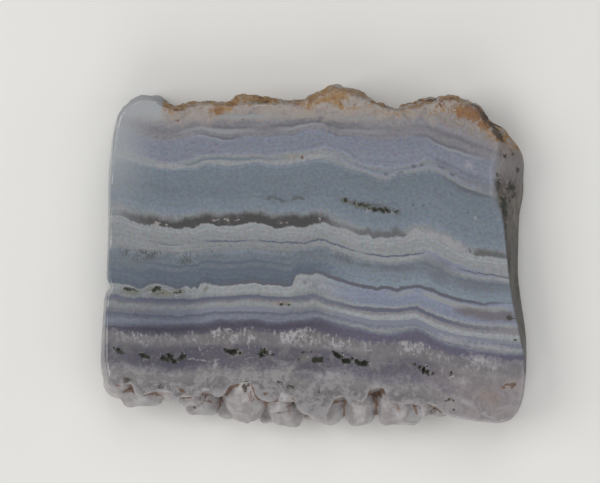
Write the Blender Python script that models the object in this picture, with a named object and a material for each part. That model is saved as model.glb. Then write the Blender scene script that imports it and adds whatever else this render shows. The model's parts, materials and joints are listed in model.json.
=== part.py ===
"""Blue lace agate: one thick polished slice of a chalcedony vein, lying on its back face.

The slice was sawn across the vein, so both flat faces show its bands. One long side is the
vein's outer skin, a lumpy iron-stained crust. The other long side is the open middle of the
vein, a druse of blunt quartz points. The two short sides are ground smooth.

Frame: X runs along the bands, Y crosses them from the quartz points (-Y) to the crust (+Y),
and Z is up through the thickness. The origin is on the back face, below the middle.
All the sizes below are in millimetres; MM turns them into Blender's metres.
"""

import math
import random
from typing import NamedTuple

import bmesh
import bpy
from mathutils import Euler, Matrix, Vector, noise

MM = 0.001

# Driving dimensions of the slice
THICKNESS = 8.0
GIRTH_HEIGHT = 2.6  # where the ground sides reach furthest out
BACK_EDGE_ROUND = 0.5
RIM_POINTS = 150  # points round the outline
EDGE_STEPS = 5  # rings from the girth to each flat face
SAW_ALLOWANCE = 0.08  # taken off each flat face by the last cut

# Quartz points of the druse
POINT_TAPER = 0.8  # length of the tapered end, as a share of the radius
POINT_WEAR = 0.17  # width of the worn edges, as a share of the radius
POINT_UNEVENNESS = 0.45  # how far a corner of the end may be off, as a share of the radius
DRUSE_ROOT = -11.5  # the Y at which every point is rooted
HIDDEN_ROW_SPACING = 3.7

# Crust
CRUST_FROM = 16.0  # the Y above which a side is crust
CRUST_ENDS = (-20.5, 19.5)  # the X between which it has lumps
CRUST_RELIEF = 1.3  # how uneven the crust is between its lumps
CRUST_GRAIN = 0.42  # waves of that unevenness in a millimetre
LUMP_ROUGHNESS = 0.30
SMALL_LUMPS = 34

# Small open pits in the polished face
PIT_DEPTH = 0.7
PIT_ROUGHNESS = 0.45


class RimStation(NamedTuple):
    """A point of the polished face's outline, with the side that falls away from it."""

    x: float
    y: float
    reach: float  # how far the girth stands out beyond this point
    ease: float  # 0 is a straight ground facet with an edge, 1 rolls over with no edge


RIM = (
    # Left side, from the lower corner up, with the nick where a band has chipped out
    RimStation(-24.1, -14.7, 1.4, 0.6),
    RimStation(-24.5, -13.2, 1.1, 0.6),
    RimStation(-24.7, -11.4, 0.9, 0.5),
    RimStation(-24.7, -7.9, 0.7, 0.4),
    RimStation(-24.5, -4.5, 0.6, 0.3),
    RimStation(-24.0, -3.6, 0.4, 0.3),
    RimStation(-24.4, -2.7, 0.5, 0.3),
    RimStation(-24.3, 1.2, 0.5, 0.3),
    RimStation(-24.2, 5.2, 0.5, 0.3),
    RimStation(-24.1, 9.4, 0.6, 0.3),
    RimStation(-23.8, 12.8, 0.6, 0.4),
    RimStation(-23.3, 15.8, 0.6, 0.5),
    RimStation(-22.4, 17.6, 0.6, 0.7),
    # Crust side, from the left horn to the right shoulder
    RimStation(-20.6, 18.8, 0.3, 0.8),
    RimStation(-18.8, 18.6, 0.1, 0.8),
    RimStation(-17.6, 17.7, 0.1, 0.6),
    RimStation(-15.6, 17.4, 0.1, 0.5),
    RimStation(-13.6, 18.1, 0.2, 0.4),
    RimStation(-9.7, 18.1, 0.4, 0.3),
    RimStation(-5.2, 18.2, 0.4, 0.3),
    RimStation(-1.6, 18.3, 0.4, 0.3),
    RimStation(0.8, 19.3, 0.4, 0.3),
    RimStation(2.8, 19.8, 0.4, 0.3),
    RimStation(4.8, 19.4, 0.4, 0.3),
    RimStation(7.6, 18.0, 0.2, 0.3),
    RimStation(10.2, 17.4, 0.1, 0.3),
    RimStation(12.9, 18.1, 0.3, 0.4),
    RimStation(15.5, 18.6, 0.4, 0.5),
    RimStation(18.2, 18.1, 0.6, 0.7),
    RimStation(20.2, 16.8, 1.1, 0.9),
    # Right side, rolled over at the top, then a hollow ground facet
    RimStation(21.2, 14.6, 2.1, 1.0),
    RimStation(21.7, 11.9, 2.9, 0.9),
    RimStation(21.9, 8.8, 3.2, 0.6),
    RimStation(22.1, 6.0, 2.9, 0.3),
    RimStation(22.6, 3.4, 2.2, 0.1),
    RimStation(22.9, 0.4, 1.8, 0.1),
    RimStation(23.2, -2.4, 1.5, 0.1),
    RimStation(23.6, -5.2, 1.4, 0.1),
    RimStation(24.3, -8.4, 1.2, 0.1),
    RimStation(24.9, -11.4, 0.8, 0.3),
    RimStation(25.1, -14.2, 0.5, 0.4),
    RimStation(24.8, -16.6, 0.5, 0.5),
    RimStation(24.3, -18.3, 0.4, 0.6),
    RimStation(23.5, -19.3, 0.3, 0.6),
    # Druse side, from the right foot back along the roots of the points
    RimStation(22.3, -19.7, 0.3, 0.6),
    RimStation(20.0, -19.6, 0.1, 0.4),
    RimStation(17.6, -19.3, 0.0, 0.2),
    RimStation(15.8, -18.8, 0.0, 0.2),
    RimStation(14.5, -17.8, 0.2, 0.2),
    RimStation(12.4, -16.8, 0.9, 0.2),
    RimStation(8.2, -15.4, 1.4, 0.2),
    RimStation(4.3, -16.4, 1.2, 0.2),
    RimStation(-0.2, -16.8, 1.2, 0.2),
    RimStation(-4.6, -16.0, 1.2, 0.2),
    RimStation(-8.0, -14.7, 1.4, 0.2),
    RimStation(-11.6, -15.7, 1.2, 0.2),
    RimStation(-17.5, -15.8, 1.0, 0.2),
    RimStation(-20.4, -15.7, 1.4, 0.3),
    RimStation(-21.8, -14.8, 1.7, 0.4),
    RimStation(-23.0, -15.2, 1.6, 0.6),
)


class QuartzPoint(NamedTuple):
    """A blunt quartz point, placed by the middle of its worn tip."""

    x: float
    y: float
    z: float
    radius: float
    bluntness: float  # the worn tip's radius, as a share of the point's
    lean: float  # degrees, towards +X
    dip: float  # degrees, towards the back face
    twist: float  # degrees, about its own axis


DRUSE = (
    # The row that the polished face cuts through
    QuartzPoint(-19.6, -16.3, 7.2, 2.4, 0.75, 3.0, 0.0, 0.0),
    QuartzPoint(-15.1, -16.6, 7.0, 2.7, 0.75, 4.0, 2.0, 30.0),
    QuartzPoint(-11.2, -16.9, 7.4, 1.8, 0.40, 6.0, 0.0, 10.0),
    QuartzPoint(-5.7, -17.3, 7.3, 2.3, 0.45, -9.0, 2.0, 5.0),
    QuartzPoint(-3.3, -17.3, 6.5, 1.6, 0.80, 4.0, 0.0, 40.0),
    QuartzPoint(-0.2, -18.6, 6.8, 3.2, 0.60, -3.0, 2.0, 0.0),
    QuartzPoint(5.1, -17.4, 7.3, 1.9, 0.60, 3.0, 0.0, 30.0),
    QuartzPoint(11.3, -17.6, 7.4, 3.4, 0.85, 0.0, 3.0, 0.0),
    # The blocks behind it, which stand out further
    QuartzPoint(-23.1, -16.5, 3.6, 2.3, 0.65, -20.0, 4.0, 12.0),
    QuartzPoint(-20.6, -17.9, 3.8, 3.3, 0.75, -4.0, 4.0, 25.0),
    QuartzPoint(-14.6, -17.8, 5.2, 2.0, 0.80, 3.0, 0.0, 5.0),
    QuartzPoint(-13.4, -18.8, 2.8, 2.6, 0.75, 2.0, 4.0, 18.0),
    QuartzPoint(-8.0, -19.7, 4.2, 3.5, 0.40, 0.0, 4.0, 30.0),
    QuartzPoint(-3.9, -18.6, 5.3, 1.9, 0.80, 4.0, 0.0, 50.0),
    QuartzPoint(-3.3, -20.3, 2.9, 2.8, 0.60, 3.0, 4.0, 15.0),
    QuartzPoint(1.2, -20.1, 3.5, 3.0, 0.65, -4.0, 0.0, 36.0),
    QuartzPoint(5.8, -20.4, 3.4, 2.7, 0.55, 5.0, 4.0, 5.0),
    QuartzPoint(10.4, -19.9, 3.8, 3.4, 0.80, 0.0, 2.0, 28.0),
    QuartzPoint(13.3, -19.0, 5.3, 1.5, 0.50, 3.0, 0.0, 0.0),
    QuartzPoint(14.9, -19.2, 2.8, 2.0, 0.70, 2.0, 0.0, 18.0),
)


# Where the tips of the row nearest the back face lie, as (x, y) from left to right
HIDDEN_ROW = ((-23.5, -16.2), (-15.5, -16.8), (-12.0, -18.6), (-7.0, -19.4), (12.0, -19.3), (17.0, -18.2))


class Pit(NamedTuple):
    """A small open pit in the polished face."""

    x: float
    y: float
    length: float
    width: float
    turn: float  # degrees, about Z


PITS = (
    Pit(-23.3, -11.1, 1.0, 0.5, -35.0),
    Pit(-20.0, -11.9, 1.3, 0.6, -30.0),
    Pit(-16.9, -12.1, 1.6, 0.6, -35.0),
    Pit(-15.4, -11.7, 1.1, 0.5, 50.0),
    Pit(-9.6, -11.3, 1.7, 0.7, -5.0),
    Pit(-5.9, -11.4, 1.3, 0.8, 40.0),
    Pit(0.6, -12.2, 1.6, 0.7, -4.0),
    Pit(3.0, -11.7, 1.5, 0.7, -35.0),
    Pit(4.0, -12.3, 1.2, 0.6, 20.0),
    Pit(5.8, -12.7, 1.7, 0.6, -12.0),
    Pit(13.0, -13.2, 2.1, 0.9, -38.0),
    Pit(23.6, -15.3, 1.7, 0.6, 20.0),
    Pit(5.6, 6.3, 2.2, 0.6, -12.0),
    Pit(8.3, 5.6, 2.4, 0.7, -8.0),
)


def closed_curve(stations: tuple[RimStation, ...], count: int) -> list[Vector]:
    """Points along a smooth closed curve through the stations, evenly spread between them.

    Each point is a 4-vector (x, y, reach, ease), so the side's shape flows round with the outline.
    """
    corners = [Vector(station) for station in stations]
    chords = [(corners[i - 1].xy - corners[i].xy).length for i in range(len(corners))]
    total = sum(chords[1:]) + chords[0]
    points = []
    for i, start in enumerate(corners):
        before, end, after = (corners[(i + k) % len(corners)] for k in (-1, 1, 2))
        steps = max(1, round(count * (end.xy - start.xy).length / total))
        for step in range(steps):
            t = step / steps
            points.append(
                0.5
                * (
                    2.0 * start
                    + (end - before) * t
                    + (2.0 * before - 5.0 * start + 4.0 * end - after) * t**2
                    + (3.0 * (start - end) + after - before) * t**3
                )
            )
    return points


def outward_normals(points: list[Vector]) -> list[Vector]:
    """The outline runs clockwise seen from above, so outwards is to the left of its direction."""
    normals = []
    for i in range(len(points)):
        along = (points[(i + 1) % len(points)] - points[i - 1]).xy
        normals.append(Vector((-along.y, along.x)).normalized())
    return normals


def side_profile() -> list[tuple[float, float, float]]:
    """Rings of the side, from the back face up: (height, straight spread, rolled spread).

    A spread is the share of a station's reach that the ring stands out by.
    """
    rings = []
    for step in range(EDGE_STEPS, 0, -1):
        angle = 0.5 * math.pi * step / EDGE_STEPS
        inset = BACK_EDGE_ROUND * (1.0 - math.cos(angle))
        low = -SAW_ALLOWANCE
        rings.append((GIRTH_HEIGHT + (low - GIRTH_HEIGHT) * math.sin(angle), 1.0, -inset))
    top = THICKNESS + SAW_ALLOWANCE
    for step in range(EDGE_STEPS + 1):
        angle = 0.5 * math.pi * step / EDGE_STEPS
        height = GIRTH_HEIGHT + (top - GIRTH_HEIGHT) * math.sin(angle)
        rings.append((height, 1.0 - math.sin(angle), math.cos(angle)))
    return rings


def add_mesh_object(name: str, bm: bmesh.types.BMesh, material: bpy.types.Material):
    """Turns a bmesh into an object of the scene, with its faces pointing out."""
    bmesh.ops.recalc_face_normals(bm, faces=bm.faces[:])
    mesh = bpy.data.meshes.new(name)
    bm.to_mesh(mesh)
    bm.free()
    mesh.materials.append(material)
    made = bpy.data.objects.new(name, mesh)
    bpy.context.scene.collection.objects.link(made)
    return made


def make_material(name, colour, roughness):
    """A Principled material of one colour, with no metal in it."""
    material = bpy.data.materials.new(name)
    material.use_nodes = True
    shader = material.node_tree.nodes["Principled BSDF"]
    shader.inputs["Base Color"].default_value = (*colour, 1.0)
    shader.inputs["Roughness"].default_value = roughness
    shader.inputs["Metallic"].default_value = 0.0
    material.diffuse_color = (*colour, 1.0)
    return material


def crust_relief(x: float, y: float, height: float) -> float:
    """How far the crust stands out here between its lumps. It is nought on the ground sides."""
    share = min(1.0, max(0.0, y - CRUST_FROM))
    fade = 1.0 - 0.8 * height / THICKNESS  # the polished face keeps its own outline
    return share * fade * CRUST_RELIEF * noise.noise(Vector((x, 1.4 * height, 3.0)) * CRUST_GRAIN)


def loft(bm: bmesh.types.BMesh, rings: list[list[Vector]]) -> list[list[bmesh.types.BMVert]]:
    """A closed skin over rings of equally many points, with a flat face on the first and last."""
    skin = [[bm.verts.new(point) for point in ring] for ring in rings]
    for lower, upper in zip(skin, skin[1:]):
        for i in range(len(lower)):
            bm.faces.new((lower[i - 1], lower[i], upper[i], upper[i - 1]))
    bm.faces.new(skin[0])
    bm.faces.new(skin[-1])
    return skin


def make_slice(material):
    """The sawn slice itself, without its points, lumps and pits."""
    outline = closed_curve(RIM, RIM_POINTS)
    normals = outward_normals(outline)
    rings = []
    for height, straight, rolled in side_profile():
        ring = []
        for point, normal in zip(outline, normals):
            x, y, reach, ease = point
            if height < GIRTH_HEIGHT:
                out = reach * straight + rolled
            else:
                out = reach * ((1.0 - ease) * straight + ease * rolled)
            out += crust_relief(x, y, height)
            ring.append(Vector((x + normal.x * out, y + normal.y * out, height)) * MM)
        rings.append(ring)
    bm = bmesh.new()
    loft(bm, rings)
    return add_mesh_object("agate_slab", bm, material)


def make_point(name, point: QuartzPoint, material):
    """One six-sided quartz point with worn edges, growing towards -Y."""
    taper = point.radius * POINT_TAPER
    shaft = DRUSE_ROOT - point.y - taper
    rings = []
    for height, radius in (
        (0.0, point.radius),
        (shaft, point.radius),
        (shaft + taper, point.radius * point.bluntness),
    ):
        corners = [math.radians(60.0 * k) for k in range(6)]
        rings.append([Vector((radius * math.cos(c), radius * math.sin(c), height)) for c in corners])
    # No quartz point is even: each corner of its end is pushed up or down a little.
    for corner in rings[1] + rings[2]:
        seed = corner + Vector((point.x, point.z, 0.0))
        corner.z += POINT_UNEVENNESS * point.radius * noise.noise(seed)
    bm = bmesh.new()
    skin = loft(bm, rings)
    worn_corners = set(skin[1] + skin[2])
    bmesh.ops.bevel(
        bm,
        geom=[edge for edge in bm.edges if worn_corners.intersection(edge.verts)],
        offset=POINT_WEAR * point.radius,
        segments=1,
        profile=0.5,
        affect="EDGES",
        material=-1,
    )
    turn = Euler(
        (math.radians(90.0 + point.dip), 0.0, math.radians(point.lean)), "XYZ"
    ).to_matrix().to_4x4()
    spin = Matrix.Rotation(math.radians(point.twist), 4, "Z")
    drop = Matrix.Translation((0.0, 0.0, -(shaft + taper)))
    place = Matrix.Translation((point.x, point.y, point.z))
    bmesh.ops.transform(bm, matrix=Matrix.Scale(MM, 4) @ place @ turn @ spin @ drop, verts=bm.verts)
    return add_mesh_object(name, bm, material)


def make_lump(name, centre, radii, roughness, material):
    """A rough rounded lump: a ball of flat facets, stretched and dented."""
    bm = bmesh.new()
    bmesh.ops.create_icosphere(bm, subdivisions=2, radius=1.0)
    for vert in bm.verts:
        vert.co *= 1.0 + roughness * noise.noise(vert.co * 1.7 + Vector(centre))
        vert.co = Vector([c + r * v for c, r, v in zip(centre, radii, vert.co)]) * MM
    return add_mesh_object(name, bm, material)


def make_pit_tool(name, pit: Pit, material):
    """The space of one pit, half in the polished face and half above it."""
    made = make_lump(
        name,
        (0.0, 0.0, 0.0),
        (0.5 * pit.length, 0.5 * pit.width, PIT_DEPTH),
        PIT_ROUGHNESS,
        material,
    )
    place = Matrix.Translation((pit.x * MM, pit.y * MM, THICKNESS * MM))
    made.data.transform(place @ Matrix.Rotation(math.radians(pit.turn), 4, "Z"))
    return made


def hidden_druse(rng: random.Random) -> list[QuartzPoint]:
    """The row of points nearest the back face, spread along the druse at random."""
    row = []
    for (left, left_tip), (right, right_tip) in zip(HIDDEN_ROW, HIDDEN_ROW[1:]):
        count = max(1, round((right - left) / HIDDEN_ROW_SPACING))
        for step in range(count):
            share = (step + 0.5) / count
            row.append(
                QuartzPoint(
                    left + share * (right - left) + rng.uniform(-0.4, 0.4),
                    left_tip + share * (right_tip - left_tip) + rng.uniform(-0.5, 0.5),
                    1.0 + rng.uniform(-0.5, 0.5),
                    rng.uniform(2.0, 2.8),
                    rng.uniform(0.5, 0.8),
                    rng.uniform(-8.0, 8.0),
                    rng.uniform(-4.0, 8.0),
                    rng.uniform(0.0, 60.0),
                )
            )
    return row


def crust_lumps(rng: random.Random) -> list[tuple[tuple, tuple]]:
    """Centre and radii of each lump of the crust: the large ones by hand, the rest spread out."""
    lumps = [
        ((-7.6, 17.9, 5.2), (2.6, 1.6, 1.9)),
        ((-4.8, 17.7, 5.6), (1.6, 1.3, 1.5)),
        ((2.6, 18.6, 5.0), (3.4, 1.8, 2.4)),
        ((6.4, 17.4, 5.6), (2.0, 1.5, 1.8)),
        ((15.6, 17.4, 5.4), (3.0, 1.7, 2.2)),
        ((19.0, 16.3, 5.4), (1.9, 1.8, 2.0)),
    ]
    left, right = CRUST_ENDS
    outline = closed_curve(RIM, RIM_POINTS)
    crust = [spot for spot in outline if spot.y > CRUST_FROM and left < spot.x < right]
    for i in range(SMALL_LUMPS):
        spot = crust[(i * len(crust)) // SMALL_LUMPS]
        size = rng.uniform(1.0, 1.8)
        height = rng.uniform(0.4, 5.6)
        centre = (spot.x + rng.uniform(-0.6, 0.6), spot.y + 0.3 - 0.65 * size, height)
        lumps.append((centre, (1.4 * size, size, 1.1 * size)))
    return lumps


def make_saw_block(material):
    """The space between the two saw cuts."""
    bm = bmesh.new()
    bmesh.ops.create_cube(bm, size=1.0)
    bmesh.ops.scale(bm, vec=(80.0 * MM, 80.0 * MM, THICKNESS * MM), verts=bm.verts)
    bmesh.ops.translate(bm, vec=(0.0, 0.0, 0.5 * THICKNESS * MM), verts=bm.verts)
    return add_mesh_object("saw_block", bm, material)


def tool_group(name, objects):
    """Gathers shapes that only join or cut the slice, and keeps them out of the finished part."""
    group = bpy.data.collections.new(name)
    bpy.context.scene.collection.children.link(group)
    for tool in objects:
        bpy.context.scene.collection.objects.unlink(tool)
        group.objects.link(tool)
        tool.hide_render = True
        tool.display_type = "WIRE"
    return group


def add_boolean(target, name, operation, group):
    """Joins or cuts the target with every shape of a group."""
    step = target.modifiers.new(name, "BOOLEAN")
    step.operation = operation
    step.solver = "EXACT"
    step.operand_type = "COLLECTION"
    step.collection = group
    step.material_mode = "TRANSFER"


def build():
    """Makes the slice, joins its druse and crust, saws it flat and opens its pits."""
    for left_over in list(bpy.data.objects):
        bpy.data.objects.remove(left_over)
    rng = random.Random(7)
    banded = make_material("banded_chalcedony", (0.38, 0.43, 0.52), 0.18)
    quartz = make_material("milky_quartz", (0.50, 0.47, 0.49), 0.35)
    crust = make_material("iron_stained_crust", (0.48, 0.33, 0.17), 0.70)
    lining = make_material("dark_pit_lining", (0.05, 0.05, 0.04), 0.80)

    slab = make_slice(banded)
    points = [
        make_point(f"quartz_point_{i}", point, quartz)
        for i, point in enumerate([*DRUSE, *hidden_druse(rng)])
    ]
    lumps = [
        make_lump(f"crust_lump_{i}", centre, radii, LUMP_ROUGHNESS, crust)
        for i, (centre, radii) in enumerate(crust_lumps(rng))
    ]
    pits = [make_pit_tool(f"pit_{i}", pit, lining) for i, pit in enumerate(PITS)]

    add_boolean(slab, "druse", "UNION", tool_group("druse", points))
    add_boolean(slab, "crust", "UNION", tool_group("crust", lumps))
    add_boolean(slab, "saw_cuts", "INTERSECT", tool_group("saw", [make_saw_block(banded)]))
    add_boolean(slab, "pits", "DIFFERENCE", tool_group("pits", pits))


build()
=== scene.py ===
"""Looks of a polished slice of blue lace agate that lies on a pale table.

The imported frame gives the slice's shape. The one piece made here is carved from a copy of it:
the ground edges are eased, the quartz points get their small faces, the crust its grain and the
polished face its open vugs. One procedural stone material draws the bands, the frosty comb, the
milky druse, the iron stains and the crust. Sizes are in millimetres until the last step.

Frame: X along the bands, Y from the quartz points (-Y) to the crust (+Y), Z out of the polished
face, which lies at Z = 8 mm.
"""

from __future__ import annotations

import json
import logging
import math
from dataclasses import dataclass
from enum import Enum
from typing import Any, ClassVar, Sequence

import bmesh
import bpy
import numpy as np
from mathutils import Matrix, Vector, kdtree, noise

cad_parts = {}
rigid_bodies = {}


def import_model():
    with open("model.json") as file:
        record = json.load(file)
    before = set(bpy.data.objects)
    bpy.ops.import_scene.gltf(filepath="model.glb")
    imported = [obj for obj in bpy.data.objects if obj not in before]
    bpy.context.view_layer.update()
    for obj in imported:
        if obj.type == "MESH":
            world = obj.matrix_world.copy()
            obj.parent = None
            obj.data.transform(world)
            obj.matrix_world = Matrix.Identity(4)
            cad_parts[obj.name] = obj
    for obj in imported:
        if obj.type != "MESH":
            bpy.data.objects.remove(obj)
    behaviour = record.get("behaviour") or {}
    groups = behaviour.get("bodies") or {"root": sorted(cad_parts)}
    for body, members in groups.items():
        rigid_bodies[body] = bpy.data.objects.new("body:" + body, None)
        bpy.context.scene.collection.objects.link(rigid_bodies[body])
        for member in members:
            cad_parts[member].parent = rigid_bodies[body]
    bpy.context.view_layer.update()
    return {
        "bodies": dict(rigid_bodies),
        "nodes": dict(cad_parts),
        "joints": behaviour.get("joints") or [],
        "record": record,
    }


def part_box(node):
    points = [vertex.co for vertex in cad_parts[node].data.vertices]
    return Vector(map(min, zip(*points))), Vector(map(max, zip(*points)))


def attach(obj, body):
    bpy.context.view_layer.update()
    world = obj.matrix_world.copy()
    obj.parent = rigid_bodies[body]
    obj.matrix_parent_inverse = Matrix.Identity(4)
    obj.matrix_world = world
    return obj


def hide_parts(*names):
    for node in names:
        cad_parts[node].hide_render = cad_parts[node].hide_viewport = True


MM = 0.001
FACE_HEIGHT = 8.0
REACH = 27.0  # the drawn curves run this far to both sides of nought
log = logging.getLogger("agate")


# ----------------------------------------------------------------------------
# Colours
# ----------------------------------------------------------------------------


class Pigment(Enum):
    """The stone's colours as seen in soft daylight, in sRGB steps of 255."""

    RIM_CREAM = (140, 132, 128)
    LILAC_GREY = (118, 116, 121)
    BLUE_LACE = (119, 123, 136)
    WHITE_LACE = (138, 141, 144)
    PEARL = (131, 134, 137)
    STEEL = (108, 117, 127)
    ASH = (104, 111, 120)
    SLATE = (87, 96, 108)
    CORNFLOWER = (121, 127, 144)
    INDIGO = (92, 95, 109)
    VIOLET = (72, 69, 82)
    SMOKE = (88, 84, 93)
    MILK = (134, 131, 132)
    PINK_GREY = (136, 129, 130)
    # the white of the frosty comb and its hairs, also used for painted highlights and glints
    FROST_AND_HIGHLIGHT = (158, 155, 158)
    SEAM = (72, 71, 71)
    SHADOW_GREY = (86, 90, 92)
    SMUDGE = (88, 88, 97)
    WARM_GREY = (102, 95, 98)
    TAUPE = (104, 97, 89)
    CHALK = (152, 144, 138)
    GOLD = (143, 114, 77)
    ORANGE = (122, 84, 48)
    RUST = (102, 69, 44)
    OLIVE = (98, 100, 86)
    UMBER = (56, 44, 32)
    MOSS_BLACK = (34, 37, 30)
    TABLE = (226, 225, 222)

    def linear(self, tone: float = 1.0) -> tuple[float, float, float, float]:
        """The colour as scene-linear values.

        Args:
            tone: brightness of the sRGB steps against the named colour.

        Returns:
            Red, green, blue and an alpha of 1.
        """
        steps = [min(1.0, tone * step / 255.0) for step in self.value]
        flat = [s / 12.92 if s <= 0.04045 else ((s + 0.055) / 1.055) ** 2.4 for s in steps]
        return (*flat, 1.0)


# ----------------------------------------------------------------------------
# Shader arithmetic
# ----------------------------------------------------------------------------


class Signal:
    """A value that varies over a surface: one output socket with arithmetic on it."""

    def __init__(self, sheet: "Sheet", socket: bpy.types.NodeSocket) -> None:
        """Wraps a socket of the sheet."""
        self.sheet = sheet
        self.socket = socket

    def _math(self, operation: str, *values: Any) -> "Signal":
        """One Math node on the values given."""
        return self.sheet.node("ShaderNodeMath", {"operation": operation}, dict(enumerate(values)))

    def __add__(self, other: Any) -> "Signal":
        """Sum."""
        return self._math("ADD", self, other)

    __radd__ = __add__

    def __sub__(self, other: Any) -> "Signal":
        """Difference."""
        return self._math("SUBTRACT", self, other)

    def __rsub__(self, other: Any) -> "Signal":
        """Difference with the signal on the right."""
        return self._math("SUBTRACT", other, self)

    def __mul__(self, other: Any) -> "Signal":
        """Product."""
        return self._math("MULTIPLY", self, other)

    __rmul__ = __mul__

    def __truediv__(self, other: Any) -> "Signal":
        """Quotient."""
        return self._math("DIVIDE", self, other)

    def __rtruediv__(self, other: Any) -> "Signal":
        """Quotient with the signal below."""
        return self._math("DIVIDE", other, self)

    def __abs__(self) -> "Signal":
        """Size without its sign."""
        return self._math("ABSOLUTE", self)

    def highest(self, other: Any) -> "Signal":
        """The larger of two values."""
        return self._math("MAXIMUM", self, other)

    def lowest(self, other: Any) -> "Signal":
        """The smaller of two values."""
        return self._math("MINIMUM", self, other)

    def rise(self, start: Any, end: Any, low: Any = 0.0, high: Any = 1.0) -> "Signal":
        """A smooth step from low at start to high at end.

        Args:
            start: value at which the step begins.
            end: value at which it is over; it may be below start.
            low: result before the step.
            high: result after it.

        Returns:
            The stepped signal.
        """
        return self.sheet.node(
            "ShaderNodeMapRange",
            {"interpolation_type": "SMOOTHSTEP"},
            {"Value": self, "From Min": start, "From Max": end, "To Min": low, "To Max": high},
        )

    def band(self, middle: Any, half_width: Any, softness: float) -> "Signal":
        """1 within half_width of the middle, easing to 0 over the softness beyond it."""
        edge = half_width + softness
        return abs(self - middle).rise(edge, half_width)


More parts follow.
